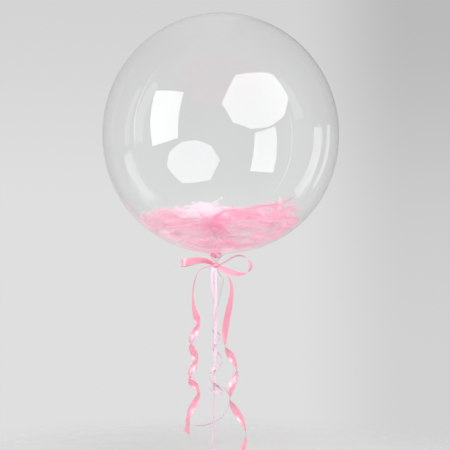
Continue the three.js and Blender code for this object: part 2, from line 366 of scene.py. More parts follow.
RIGHT_TAIL = RibbonRoute(
    (
        (0.012, -0.0075, 0.4382, 90, 0),
        (0.018, -0.009, 0.433, 90, 0),
        (0.0244, -0.0095, 0.4276, 88, 0),
        (0.031, -0.0095, 0.4224, 82, 0),
        (0.0364, -0.009, 0.415, 74, 0),
        (0.0398, -0.008, 0.4054, 66, 0),
        (0.0414, -0.007, 0.3932, 60, 0),
        (0.041, -0.006, 0.3806, 54, 0),
        (0.0394, -0.005, 0.3692, 47, 0),
        (0.037, -0.004, 0.3572, 36, 0),
        (0.034, -0.003, 0.3424, 31, 0),
        (0.031, -0.002, 0.3276, 27, 0),
        (0.0286, -0.002, 0.3128, 27, 0),
        (0.027, -0.002, 0.3, 34, 0),
        (0.0264, -0.003, 0.2894, 48, 0),
        (0.0272, -0.004, 0.279, 68, 0),
        (0.0288, -0.004, 0.2692, 102, 0),
        (0.0342, -0.002, 0.2594, 152, 0),
        (0.04, 0.001, 0.25, 180, 0),
        (0.046, 0.003, 0.241, 220, 0),
        (0.0506, 0.005, 0.231, 246, 0),
        (0.0528, 0.005, 0.2208, 268, 0),
        (0.0518, 0.003, 0.2108, 306, 0),
        (0.0478, 0.001, 0.2008, 332, 0),
        (0.0436, -0.001, 0.1908, 356, 0),
        (0.0404, -0.003, 0.181, 396, 0),
        (0.0384, -0.003, 0.1706, 420, 0),
        (0.038, -0.003, 0.161, 447, 0),
        (0.041, -0.001, 0.1504, 490, 0),
        (0.0474, 0.002, 0.1382, 530, 0),
        (0.054, 0.004, 0.1278, 545, 0),
        (0.0608, 0.005, 0.1174, 570, 0),
        (0.0668, 0.005, 0.107, 596, 0),
        (0.0706, 0.004, 0.0962, 614, 0),
        (0.072, 0.002, 0.0848, 628, 0),
        (0.0718, 0, 0.075, 645, 0),
        (0.0692, -0.002, 0.0658, 662, 0),
        (0.0664, -0.003, 0.0552, 674, 0),
        (0.0644, -0.003, 0.0456, 684, 0),
        (0.0634, -0.002, 0.036, 690, 0),
    )
)
TETHER = RibbonRoute(
    (
        (0.0032, -0.005, 0.438, 0, 0),
        (0.0012, -0.007, 0.4314, 8, 0),
        (0.0002, -0.008, 0.4198, 8, 0),
        (0.0002, -0.0085, 0.405, 4, 0),
        (0.0021, -0.0085, 0.39, 0, 0),
        (0.0042, -0.0085, 0.3774, 0, 0),
        (0.0064, -0.008, 0.3626, 0, 0),
        (0.0074, -0.007, 0.3456, 0, 0),
        (0.0078, -0.006, 0.3244, 0, 0),
        (0.0076, -0.0055, 0.301, 0, 0),
        (0.0072, -0.005, 0.2756, 0, 0),
        (0.0066, -0.0045, 0.2502, 0, 0),
        (0.006, -0.004, 0.2248, -5, 0),
        (0.0054, -0.0035, 0.1992, -12, 0),
        (0.0048, -0.003, 0.176, -32, 0),
        (0.004, -0.0025, 0.1568, -42, 0),
        (0.0032, -0.002, 0.1378, -46, 0),
        (0.0026, -0.002, 0.1188, -46, 0),
        (0.0018, -0.0015, 0.0976, -46, 0),
        (0.001, -0.001, 0.072, -44, 0),
        (0.0004, -0.0005, 0.051, -40, 0),
        (0, 0, 0.0394, -30, 0),
    )
)
TETHER_CURL = RibbonRoute(
    (
        (0.0094, -0.005, 0.4372, 180, 0),
        (0.0085, -0.008, 0.425, 180, 0),
        (0.0081, -0.0095, 0.4112, 180, 0),
        (0.0084, -0.0105, 0.3964, 180, 0),
        (0.0084, -0.0115, 0.3816, 180, 0),
        (0.0078, -0.012, 0.3668, 180, 0),
        (0.0066, -0.0115, 0.353, 165, 0),
        (0.004, -0.0095, 0.3392, 135, 0),
        (0.0013, -0.0065, 0.3264, 105, 8),
        (-0.0002, -0.004, 0.3148, 90, 16),
        (0.0009, -0.0015, 0.3052, 90, 36),
        (0.0055, 0.0005, 0.3006, 90, 78),
        (0.0123, 0, 0.299, 90, 102),
        (0.0174, -0.004, 0.2944, 90, 142),
        (0.0161, -0.0085, 0.287, 90, 132),
        (0.0098, -0.011, 0.282, 90, 96),
        (0.0038, -0.0095, 0.2774, 90, 66),
        (0.0011, -0.005, 0.27, 90, 36),
        (0.0034, 0, 0.2634, 90, 60),
        (0.0106, 0.002, 0.2582, 90, 90),
        (0.0182, 0, 0.251, 90, 110),
        (0.0227, -0.004, 0.242, 90, 140),
        (0.0191, -0.009, 0.2334, 90, 124),
        (0.0106, -0.011, 0.228, 90, 96),
        (0.0013, -0.0095, 0.2226, 90, 70),
        (-0.0045, -0.006, 0.2132, 90, 42),
        (-0.0051, -0.003, 0.2036, 90, 32),
        (-0.0004, 0.0005, 0.1954, 90, 60),
        (0.0072, 0.002, 0.1896, 90, 86),
        (0.0161, 0.0005, 0.1832, 90, 102),
        (0.0231, -0.0035, 0.1768, 90, 140),
        (0.0191, -0.008, 0.1726, 90, 118),
        (0.0098, -0.01, 0.1738, 90, 100),
        (0.0002, -0.01, 0.178, 90, 112),
        (-0.0059, -0.009, 0.1848, 90, 152),
        (-0.0042, -0.0085, 0.1916, 90, 180),
        (0.003, -0.008, 0.195, 90, 180),
        (0.0119, -0.0065, 0.1932, 90, 180),
        (0.0212, -0.001, 0.1866, 90, 168),
        (0.031, 0.006, 0.1764, 90, 150),
        (0.0369, 0.011, 0.1622, 90, 146),
        (0.0367, 0.011, 0.1474, 90, 144),
        (0.0303, 0.007, 0.1326, 90, 144),
        (0.0191, 0, 0.1198, 90, 144),
        (0.0053, -0.008, 0.1116, 90, 144),
        (-0.0095, -0.009, 0.1066, 90, 144),
        (-0.0244, -0.009, 0.1042, 90, 146),
        (-0.0373, -0.008, 0.1054, 90, 148),
    )
)


# ---- Building blocks for meshes ----


def dressed(
    name: str,
    bm: bmesh.types.BMesh,
    material: bpy.types.Material,
    sharp_degrees: float = 40,
) -> bpy.types.Object:
    """Turn a bmesh into a smooth-shaded object of the balloon.

    Args:
        name: Name of the new object.
        bm: The shape, which is freed.
        material: Its finish.
        sharp_degrees: Edges that turn by more than this stay crisp.

    Returns:
        The linked object, at the world origin.
    """
    bm.normal_update()
    for face in bm.faces:
        face.smooth = True
    for edge in bm.edges:
        edge.smooth = not edge.is_manifold or edge.calc_face_angle(0) < math.radians(sharp_degrees)
    mesh = bpy.data.meshes.new(name)
    bm.to_mesh(mesh)
    bm.free()
    mesh.materials.append(material)
    piece = bpy.data.objects.new(name, mesh)
    bpy.context.scene.collection.objects.link(piece)
    return piece


def fitted(piece: bpy.types.Object, slot: Slot, *nodes: str) -> bpy.types.Object:
    """Mount a piece on the balloon's one body.

    Args:
        piece: The object to mount.
        slot: The material slot that it belongs to; not used.
        *nodes: The CAD nodes that it stands for, if any.

    Returns:
        The same object.
    """
    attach(piece, BODY)
    if nodes:
        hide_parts(*nodes)
    log.info("%s: %d faces", piece.name, len(piece.data.polygons))
    return piece


def spun(bm: bmesh.types.BMesh, outline: Sequence[Point], axis: Point, steps: int) -> None:
    """Spin an outline a full turn round an axis through the origin.

    Args:
        bm: Mesh to add the surface to.
        outline: The outline's points in order.
        axis: Direction of the axis.
        steps: Number of faces round it.
    """
    verts = [bm.verts.new(point) for point in outline]
    edges = [bm.edges.new(pair) for pair in zip(verts, verts[1:])]
    bmesh.ops.spin(
        bm,
        geom=verts + edges,
        cent=(0, 0, 0),
        axis=axis,
        angle=FULL_TURN,
        steps=steps,
        use_merge=True,
        use_duplicate=False,
    )


@dataclass(frozen=True)
class RibbonShape:
    """How one length of flat ribbon is made up along its route.

    Attributes:
        width: Width of the ribbon.
        thickness: Thickness of the ribbon.
        steps: Rows of faces along it.
        bands: Faces across it.
        gather: How far each end is drawn in, as a share of the width.
        slant: Slope of the cut across the last end.
        folds: Number of lengthwise folds where it is gathered.
        cup: How far its edges curl to one side, as a share of the width.
    """

    width: float
    thickness: float
    steps: int
    bands: int = 8
    gather: tuple[float, float] = (1.0, 1.0)
    slant: float = 0.0
    folds: int = 3
    cup: float = 0.0

    GATHER_REACH = 0.16
    SLANT_REACH = 0.05
    FOLD_DEPTH = 0.11
    MEAN_CUP = 0.33

    def mesh(self, route: RibbonRoute) -> bmesh.types.BMesh:
        """Lay the ribbon along a route.

        Args:
            route: The centreline and the way the width points along it.

        Returns:
            A closed shell with a UV map: across the ribbon from 0 to 1, and along it in widths.
        """
        bm = bmesh.new()
        chart = bm.loops.layers.uv.new(CHART)
        bmesh.ops.create_grid(bm, x_segments=self.bands, y_segments=self.steps, size=0.5)
        places = {vert: (vert.co.x, vert.co.y + 0.5) for vert in bm.verts}
        widths = route.length / self.width
        for face in bm.faces:
            for loop in face.loops:
                across, share = places[loop.vert]
                loop[chart].uv = (across + 0.5, share * widths)
        stations: dict[float, RibbonStation] = {}
        for vert, (across, share) in places.items():
            key = round(share, 6)
            if key not in stations:
                stations[key] = route.station(share)
            vert.co = self._placed(stations[key], across, share)
        bmesh.ops.solidify(bm, geom=bm.faces[:], thickness=self.thickness)
        return bm

    def _placed(self, station: RibbonStation, across: float, share: float) -> Vector:
        """Find where one corner of the ribbon's upper face lies.

        Args:
            station: The route at its row.
            across: Place across the ribbon, from -0.5 to 0.5.
            share: Share of the length, from 0 to 1.

        Returns:
            The place.
        """
        drawn = lerp(self.gather[0], 1, smoothstep(share, 0, self.GATHER_REACH))
        drawn *= lerp(self.gather[1], 1, smoothstep(1 - share, 0, self.GATHER_REACH))
        side = across * self.width * drawn
        fold = math.cos(across * FULL_TURN * self.folds) * (1 - drawn) * self.width * self.FOLD_DEPTH
        curl = (4 * across * across - self.MEAN_CUP) * self.cup * self.width
        lift = self.thickness / 2 + fold + curl
        cut = side * self.slant * smoothstep(share, 1 - self.SLANT_REACH, 1)
        return station.point + station.across * side + station.face * lift + station.along * cut


# ---- Finishes ----


@dataclass
class Shading:
    """A node tree with short calls for adding and joining its nodes."""

    tree: bpy.types.NodeTree

    def feed(self, socket: bpy.types.NodeSocket, value: Amount | Shade) -> None:
        """Join an input to another node's output, or give it a plain value.

        Args:
            socket: The input.
            value: An output or a plain value.
        """
        if isinstance(value, bpy.types.NodeSocket):
            self.tree.links.new(value, socket)
        else:
            socket.default_value = value

    def add(
        self,
        kind: str,
        settings: dict[str, str] | None = None,
        **inputs: Amount | Shade,
    ) -> bpy.types.Node:
        """Add a node.

        Args:
            kind: The node's Blender type, without the leading ShaderNode.
            settings: Properties to set on the node.
            **inputs: Values or sockets for its inputs, each under the input's name with _ for a
                space, or under input_0, input_1 and so on where names repeat.

        Returns:
            The new node.
        """
        node = self.tree.nodes.new("ShaderNode" + kind)
        for key, value in (settings or {}).items():
            setattr(node, key, value)
        for key, value in inputs.items():
            number = key.removeprefix("input_")
            self.feed(node.inputs[int(number) if number.isdigit() else key.replace("_", " ")], value)
        return node

    def math(self, operation: str, *values: Amount) -> bpy.types.NodeSocket:
        """Work out one sum and give the socket of the result.

        Args:
            operation: Blender name of the operation.
            *values: Its numbers, plain or from sockets.

        Returns:
            The output.
        """
        node = self.add("Math", {"operation": operation})
        for socket, value in zip(node.inputs, values):
            self.feed(socket, value)
        return node.outputs[0]

    def group(self, effect: Effect, **inputs: Amount | Shade) -> bpy.types.NodeSocket:
        """Place a shared effect with its own values and give the socket of its result.

        Args:
            effect: Which effect.
            **inputs: Values or sockets for the group's own inputs.

        Returns:
            The output.
        """
        node = self.tree.nodes.new("ShaderNodeGroup")
        node.node_tree = bpy.data.node_groups[effect.value]
        for key, value in inputs.items():
            self.feed(node.inputs[key], value)
        return node.outputs[0]

    def blend(self, factor: Amount, first: Shade, second: Shade) -> bpy.types.NodeSocket:
        """Mix two colours and give the socket of the result."""
        mix = self.add("Mix", {"data_type": "RGBA"}, input_0=factor, input_6=first, input_7=second)
        return mix.outputs[2]

    def remap(
        self,
        value: Amount,
        low: float,
        high: float,
        start: float = 0,
        end: float = 1,
    ) -> bpy.types.NodeSocket:
        """Map a value's range smoothly onto another and give the socket of the result.

        Args:
            value: The value.
            low: Where its range starts.
            high: Where its range ends.
            start: What the low end becomes.
            end: What the high end becomes.

        Returns:
            The output.
        """
        node = self.add(
            "MapRange",
            {"interpolation_type": "SMOOTHSTEP"},
            Value=value,
            From_Min=low,
            From_Max=high,
            To_Min=start,
            To_Max=end,
        )
        return node.outputs[0]

    def veil(self, mask: Amount, strength: float, under: Shade, over: Shade) -> bpy.types.NodeSocket:
        """Lay one colour over another where a mask is high, up to a strength."""
        return self.blend(self.remap(mask, 0, 1, 0, strength), under, over)


def new_material(name: str) -> tuple[bpy.types.Material, Shading, bpy.types.Node]:
    """Start a material.

    Args:
        name: The finish's name.

    Returns:
        The material, its shading and its Principled shader.
    """
    material = bpy.data.materials.new(name)
    material.use_nodes = True
    shading = Shading(material.node_tree)
    return material, shading, material.node_tree.nodes["Principled BSDF"]


def set_plain(shader: bpy.types.Node, values: dict[str, float | tuple[float, ...]]) -> None:
    """Set plain values on a shader's own sockets."""
    for name, value in values.items():
        shader.inputs[name].default_value = value


def rgba(colour: Colour) -> tuple[float, float, float, float]:
    """Give a colour full opacity."""
    return (*colour, 1.0)


@dataclass
class EffectGroup(Shading):
    """A shared effect's node group, with named inputs and one output."""

    @classmethod
    def start(cls, effect: Effect, output: str, place: str, **values: float) -> "EffectGroup":
        """Make the empty group.

        Args:
            effect: Which effect the group makes.
            output: Name of its one output, a plain value.
            place: Name of its vector input.
            **values: Its value inputs and what they start at.

        Returns:
            The group, with its input and output nodes in it.
        """
        tree = bpy.data.node_groups.new(effect.value, "ShaderNodeTree")
        tree.interface.new_socket(place, in_out="INPUT", socket_type="NodeSocketVector")
        for name, value in values.items():
            socket = tree.interface.new_socket(name, in_out="INPUT", socket_type="NodeSocketFloat")
            socket.default_value = value
        tree.interface.new_socket(output, in_out="OUTPUT", socket_type="NodeSocketFloat")
        tree.nodes.new("NodeGroupInput")
        tree.nodes.new("NodeGroupOutput")
        return cls(tree)

    def given(self, name: str) -> bpy.types.NodeSocket:
        """Find one of the group's inputs."""
        return self.tree.nodes["Group Input"].outputs[name]

    def give(self, result: bpy.types.NodeSocket) -> None:
        """Lead a result out of the group."""
        self.tree.links.new(result, self.tree.nodes["Group Output"].inputs[0])


def build_threads_and_painted_sheen() -> None:
    """Make the fine noise drawn out along a ribbon, centred on a half: the weave, the ribs and the satin's
    painted sheen streaks.
    """
    threads_and_painted_sheen = EffectGroup.start(Effect.THREADS_AND_PAINTED_SHEEN, "Value", "Chart", Across=60, Along=4, Contrast=0.5)
    scale = threads_and_painted_sheen.add("CombineXYZ", X=threads_and_painted_sheen.given("Across"), Y=threads_and_painted_sheen.given("Along"))
    stretched = threads_and_painted_sheen.add(
        "VectorMath",
        {"operation": "MULTIPLY"},
        input_0=threads_and_painted_sheen.given("Chart"),
        input_1=scale.outputs[0],
    )
    fine = threads_and_painted_sheen.add("TexNoise", Vector=stretched.outputs[0], Scale=1.0, Detail=3.0, Roughness=0.6)
    contrast = threads_and_painted_sheen.given("Contrast")
    centring = threads_and_painted_sheen.math("MULTIPLY_ADD", contrast, -0.5, 0.5)
    threads_and_painted_sheen.give(threads_and_painted_sheen.math("MULTIPLY_ADD", fine.outputs[0], contrast, centring))


def build_selvedge() -> None:
    """Make the mask of a ribbon's two edges."""
    selvedge = EffectGroup.start(Effect.SELVEDGE, "Mask", "Chart", Width=0.06)
    across = selvedge.add("SeparateXYZ", Vector=selvedge.given("Chart")).outputs[0]
    off = selvedge.math("ABSOLUTE", selvedge.math("SUBTRACT", across, 0.5))
    inset = selvedge.math("SUBTRACT", 0.5, selvedge.given("Width"))
    selvedge.give(selvedge.add("MapRange", Value=off, From_Min=inset, From_Max=0.5).outputs[0])


def build_clouds() -> None:
    """Make the soft patches."""
    clouds = EffectGroup.start(Effect.CLOUDS, "Value", "Place", Scale=20)
    soft = clouds.add("TexNoise", Vector=clouds.given("Place"), Scale=clouds.given("Scale"), Detail=4.0)
    clouds.give(clouds.remap(soft.outputs[0], 0.3, 0.7))


@dataclass(frozen=True)
class SatinFinish:
    """Double-faced satin: a deep pink weave, with pale highlights that stretch across the ribbon, and pale
    streaks along it that are painted sheen.
    """

    deep: Colour = (1.0, 0.15, 0.30)
    # Pale pink of the painted sheen streaks.
    bright: Colour = (1.0, 0.34, 0.51)
    roughness: float = 0.43
    ior: float = 2.5
    shine: float = 1.0
    stretch: float = 0.8
    sheen: float = 0.35
    sheen_tint: Colour = (1.0, 0.78, 0.85)
    selvedge: float = 0.045
    relief: float = 0.0001

    def material(self) -> bpy.types.Material:
        """Build the satin.

        Returns:
            The material.
        """
        material, shading, shader = new_material("pink satin")
        chart = shading.add("UVMap", {"uv_map": CHART}).outputs[0]
        place = shading.add("TexCoord").outputs["Object"]
        warp = shading.group(Effect.THREADS_AND_PAINTED_SHEEN, Chart=chart, Across=70.0, Along=3.0, Contrast=0.8)
        # Mask of the painted sheen: pale streaks along the ribbon.
        painted_sheen_streak = shading.group(Effect.THREADS_AND_PAINTED_SHEEN, Chart=chart, Across=7.0, Along=0.6, Contrast=0.7)
        cloud = shading.group(Effect.CLOUDS, Place=place, Scale=38.0)
        edge = shading.group(Effect.SELVEDGE, Chart=chart, Width=self.selvedge)
        # The deep pink dye, with pale painted sheen streaks over it.
        dye_and_painted_sheen = shading.blend(painted_sheen_streak, rgba(self.deep), rgba(self.bright))
        dye_and_painted_sheen = shading.veil(cloud, 0.22, dye_and_painted_sheen, rgba(self.deep))
        dye_and_painted_sheen = shading.veil(edge, 0.35, dye_and_painted_sheen, rgba(self.deep))
        shading.feed(shader.inputs["Base Color"], dye_and_painted_sheen)
        rough = shading.remap(warp, 0, 1, self.roughness - 0.06, self.roughness + 0.08)
        shading.feed(shader.inputs["Roughness"], rough)
        ridge = shading.math("ADD", warp, edge)
        bump = shading.add("Bump", Strength=0.25, Distance=self.relief, Height=ridge)
        shading.feed(shader.inputs["Normal"], bump.outputs[0])
        across = shading.add("Tangent", {"direction_type": "UV_MAP", "uv_map": CHART})
        shading.feed(shader.inputs["Tangent"], across.outputs[0])
        set_plain(
            shader,
            {
                "IOR": self.ior,
                "Specular IOR Level": self.shine,
                "Anisotropic": self.stretch,
                "Sheen Weight": self.sheen,
                "Sheen Roughness": 0.32,
                "Sheen Tint": rgba(self.sheen_tint),
            },
        )
        return material


@dataclass(frozen=True)
class CurlingFinish:
    """Crimped curling ribbon: pearly pale pink plastic with fine ribs along it."""

    body: Colour = (0.82, 0.56, 0.69)
    pearl: Colour = (0.92, 0.77, 0.85)
    roughness: float = 0.26
    gloss: float = 0.35
    selvedge: float = 0.08
    relief: float = 0.0002

    def material(self) -> bpy.types.Material:
        """Build the curling ribbon's plastic.

        Returns:
            The material.
        """
        material, shading, shader = new_material("pearly curling ribbon")
        chart = shading.add("UVMap", {"uv_map": CHART}).outputs[0]
        place = shading.add("TexCoord").outputs["Object"]
        rib = shading.group(Effect.THREADS_AND_PAINTED_SHEEN, Chart=chart, Across=26.0, Along=0.12, Contrast=1.0)
        cloud = shading.group(Effect.CLOUDS, Place=place, Scale=90.0)
        edge = shading.group(Effect.SELVEDGE, Chart=chart, Width=self.selvedge)
        plastic = shading.blend(rib, rgba(self.body), rgba(self.pearl))
        plastic = shading.veil(cloud, 0.4, plastic, rgba(self.body))
        plastic = shading.veil(edge, 0.3, plastic, rgba(self.body))
        shading.feed(shader.inputs["Base Color"], plastic)
        rough = shading.remap(cloud, 0, 1, self.roughness - 0.05, self.roughness + 0.1)
        shading.feed(shader.inputs["Roughness"], rough)
        bump = shading.add("Bump", Strength=0.5, Distance=self.relief, Height=rib)
        shading.feed(shader.inputs["Normal"], bump.outputs[0])
        set_plain(shader, {"Coat Weight": self.gloss, "Coat Roughness": 0.12})
        return material


@dataclass(frozen=True)
class FilmFinish:
    """Thin stretched clear film, glossy and all but colourless."""

    tint: Colour = (0.985, 0.99, 0.992)
    clear: Colour = (1.0, 1.0, 1.0)
    roughness: float = 0.0
    ior: float = 1.46

    def material(self) -> bpy.types.Material:
        """Build the film.

        Returns:
            The material.
        """
        material, shading, shader = new_material("clear film")
        place = shading.add("TexCoord").outputs["Object"]
        cloud = shading.group(Effect.CLOUDS, Place=place, Scale=2.2)
        shading.feed(shader.inputs["Base Color"], shading.blend(cloud, rgba(self.tint), rgba(self.clear)))
        set_plain(shader, {"Roughness": self.roughness, "IOR": self.ior, "Transmission Weight": 1.0})
        return material


@dataclass(frozen=True)
class DownFinish:
    """Dyed down: matt, from deep pink to nearly white, by each plume's own tone."""

    deep: Colour = (1.0, 0.31, 0.54)
    middle: Colour = (1.0, 0.51, 0.65)
    pale: Colour = (1.0, 0.88, 0.94)
    roughness: float = 0.9
    sheen: float = 0.3

    def material(self) -> bpy.types.Material:
        """Build the down.

        Returns:
            The material.
        """
        material, shading, shader = new_material("pink down")
        tone = shading.add("Attribute", {"attribute_name": TONE}).outputs["Fac"]
        place = shading.add("TexCoord").outputs["Object"]
        cloud = shading.group(Effect.CLOUDS, Place=place, Scale=60.0)
        dye = shading.blend(shading.remap(tone, 0.0, 0.5), rgba(self.deep), rgba(self.middle))
        dye = shading.blend(shading.remap(tone, 0.5, 1.0), dye, rgba(self.pale))
        shading.feed(shader.inputs["Base Color"], shading.veil(cloud, 0.15, dye, rgba(self.pale)))
        set_plain(
            shader,
            {"Roughness": self.roughness, "Specular IOR Level": 0.1, "Sheen Weight": self.sheen},
        )
        return material


# ---- The film ----


@dataclass(frozen=True)
class FilmBubble:
    """The one sealed film: ball, pleated neck and the loose end below the knot.

    Attributes:
        low: Lowest corner of the CAD bubble.
        high: Highest corner of the CAD bubble.
        widest_z: Height of the widest level.
        belly: From the widest level down to where the belly would close.
        fullness: 2 is an ellipse, more is fuller towards the bottom.
        neck_x: Where the neck stands.
        knot_z: Height of the pinch.
        pleats: Number of pleats gathered into the neck.
        wall: Thickness of the film.
    """

    low: Vector
    high: Vector
    widest_z: float = 0.719
    belly: float = 0.252
    fullness: float = 2.06
    neck_x: float = 0.0085
    knot_z: float = 0.443
    pleats: int = 14
    wall: float = 0.0001

    SIDES = 196
    CROWN_RINGS = 46
    BELLY_RINGS = 52
    BELLY_END = math.radians(84)
    NECK_DETAIL = 7
    NECK_MOUTH = 0.4705
    # Depth of the pleats above and below the knot, and the radii between which they die out.
    NECK_PLEATS = 0.13
    LOOSE_PLEATS = 0.07
    PLEAT_FADE = (0.012, 0.062)
    PLEAT_ROOM = 0.78
    # Heights between which the neck's axis gives way to the ball's.
    AXIS_SHIFT = (0.456, 0.478)
    # Distances below the knot between which the loose film goes slack, and how far it then strays.
    SLACK = (0.008, 0.03)
    CRUMPLE = 0.22
    SWAY = 0.0012
    ROUNDNESS_COLUMN = 2
    MIDDLE_COLUMN = 3
    # Height and radius of each level of the neck, down to the knot.
    NECK = (
        (0.4676, 0.022),
        (0.4654, 0.0134),
        (0.461, 0.0106),
        (0.4566, 0.0084),
        (0.4532, 0.005),
        (0.4505, 0.0022),
        (0.4362, 0.0022),
    )
    # Height, half width, roundness and middle of each level of the loose end.
    LOOSE_END = (
        (0.431, 0.0034, 0.9, 0.0094),
        (0.423, 0.0064, 0.6, 0.0114),
        (0.412, 0.0102, 0.4, 0.014),
        (0.404, 0.0104, 0.38, 0.0138),
        (0.390, 0.0084, 0.42, 0.0122),
        (0.372, 0.0066, 0.46, 0.0104),
        (0.356, 0.005, 0.5, 0.0088),
    )

    @property
    def middle_x(self) -> float:
        """Where the ball's axis stands."""
        return (self.low.x + self.high.x) / 2

    @property
    def half(self) -> float:
        """Half the ball's width."""
        return (self.high.x - self.low.x) / 2

    def radius_at(self, z: float) -> float:
        """Radius of the ball at a height inside it.

        Args:
            z: The height.

        Returns:
            The radius.
        """
        if z >= self.widest_z:
            rise = (z - self.widest_z) / (self.high.z - self.widest_z)
            return self.half * math.sqrt(max(1 - rise * rise, 0))
        drop = (self.widest_z - z) / self.belly
        return self.half * max(1 - drop**self.fullness, 0) ** (1 / self.fullness)

    def room_at(self, z: float) -> float:
        """Radius that is free inside the ball or its neck at a height.

        Args:
            z: The height.

        Returns:
            The radius, or 0 below the knot.
        """
        above = (self.NECK_MOUTH, self.radius_at(self.NECK_MOUTH))
        if z >= above[0]:
            return self.radius_at(z)
        for row in self.NECK:
            if z >= row[0]:
                return self.PLEAT_ROOM * lerp(row[1], above[1], (z - row[0]) / (above[0] - row[0]))
            above = row
        return 0.0

    def _profile(self) -> list[tuple[float, float]]:
        """Outline as radius and height, from the crown down to the end of the loose film.

        Returns:
            The outline's points.
        """
        crown = self.high.z - self.widest_z
        quarter = math.pi / 2
        outline = []
        for i in range(self.CROWN_RINGS):
            turn = i / self.CROWN_RINGS * quarter
            outline.append((self.half * math.sin(turn), self.widest_z + crown * math.cos(turn)))
        power = 2 / self.fullness
        for i in range(self.BELLY_RINGS):
            turn = i / self.BELLY_RINGS * self.BELLY_END
            radius = self.half * math.cos(turn) ** power
            outline.append((radius, self.widest_z - self.belly * math.sin(turn) ** power))
        last_drop = self.belly * math.sin(self.BELLY_END) ** power
        rows = [(self.half * math.cos(self.BELLY_END) ** power, self.widest_z - last_drop)]
        rows += [(radius, z) for z, radius in self.NECK]
        rows += [(half, z) for z, half, _, _ in self.LOOSE_END]
        knots = [Vector(row) for row in [outline[-1], *rows, rows[-1]]]
        for i in range(1, len(knots) - 2):
            for step in range(self.NECK_DETAIL):
                outline.append(tuple(catmull_rom(*knots[i - 1 : i + 3], step / self.NECK_DETAIL)))
        outline.append(rows[-1])
        return outline

    def _level(self, z: float, column: int, at_knot: float) -> float:
        """Read one column of the loose end's table at a height below the knot.

        Args:
            z: The height.
            column: Which column to read.
            at_knot: The column's value at the knot.

        Returns:
            The value.
        """
        above = (self.knot_z, at_knot)
        for row in self.LOOSE_END:
            if z >= row[0]:
                return lerp(row[column], above[1], (z - row[0]) / (above[0] - row[0]))
            above = (row[0], row[column])
        return above[1]

    def _gathered(self, place: Vector) -> Vector:
        """Move a point of the round shape to where the gathered film has it.

        Args:
            place: The point on the round shape.

        Returns:
            The point on the film.
        """
        radius = math.hypot(place.x, place.y)
        angle = math.atan2(place.y, place.x)
        loose = place.z < self.knot_z
        fade = 1 - smoothstep(radius, *self.PLEAT_FADE)
        depth = self.LOOSE_PLEATS if loose else self.NECK_PLEATS * fade
        if place.z > self.widest_z:
            depth = 0.0
        around = Vector((math.cos(angle), math.sin(angle), 0))
        uneven = 1 + 0.45 * noise.noise(around * 1.7 + Vector((3, 0, 0)))
        fold = 1 + depth * uneven * math.cos(self.pleats * angle)
        if not loose:
            fold += depth * 0.18 * noise.noise(around * 9)
            middle = lerp(self.neck_x, self.middle_x, smoothstep(place.z, *self.AXIS_SHIFT))
            return Vector((place.x * fold + middle, place.y * fold, place.z))
        slack = smoothstep(self.knot_z - place.z, *self.SLACK)
        crumple = noise.noise(Vector((around.x * 1.6, around.y * 1.6, place.z * 85)))
        fold += self.CRUMPLE * slack * crumple
        flat = self._level(place.z, self.ROUNDNESS_COLUMN, 1.0)
        middle = self._level(place.z, self.MIDDLE_COLUMN, self.neck_x)
        sway = self.SWAY * slack * noise.noise(Vector((0, 0, place.z * 60)))
        return Vector((place.x * fold + middle, place.y * fold * flat + sway, place.z))

    def build(self, film: bpy.types.Material) -> bpy.types.Object:
        """Spin the film, gather its neck and give it a wall.

        Args:
            film: The clear film's finish.

        Returns:
            The film, in place of the CAD bubble.
        """
        bm = bmesh.new()
        spun(bm, [(radius, 0, z) for radius, z in self._profile()], (0, 0, 1), self.SIDES)
        bmesh.ops.remove_doubles(bm, verts=bm.verts[:], dist=1e-6)
        for vert in bm.verts:
            vert.co = self._gathered(vert.co)
        bmesh.ops.recalc_face_normals(bm, faces=bm.faces[:])
        bmesh.ops.solidify(bm, geom=bm.faces[:], thickness=self.wall)
        piece = dressed("film_bubble", bm, film, 80)
        piece.visible_shadow = False
        return fitted(piece, Slot.FILM, "bubble")


# ---- The ribbons ----


@dataclass(frozen=True)
class FreeRibbon:
    """A length of ribbon that hangs free or runs taut.

    Attributes:
        name: Name of its piece.
        node: The CAD node that it stands for.
        slot: Its material slot.
        route: Where it lies.
        shape: How it is made up.
        stiffness: How readily it bends; not used.
        lay: How it lies; not used.
        far_end: What is on its far end; not used.
    """

    name: str
    node: str
    slot: Slot
    route: RibbonRoute
    shape: RibbonShape
    stiffness: Stiffness
    lay: Lay
    far_end: FarEnd = FarEnd.BARE

    PATH_POINTS = 160

    def build(
        self,
        finish: bpy.types.Material,
        on_it: Sequence[bpy.types.Object] = (),
    ) -> bpy.types.Object:
        """Lay the ribbon.

        Args:
            finish: The ribbon's finish.
            on_it: Separate pieces that are on the ribbon, such as its end loop; not used.

        Returns:
            The ribbon, in place of its CAD solid.
        """
        piece = dressed(self.name, self.shape.mesh(self.route), finish)
        fitted(piece, self.slot, self.node)
        self.route.length
        self.route.centreline(self.PATH_POINTS)
        log.info("%s: %.3f m of ribbon", self.name, self.route.length)
        return piece


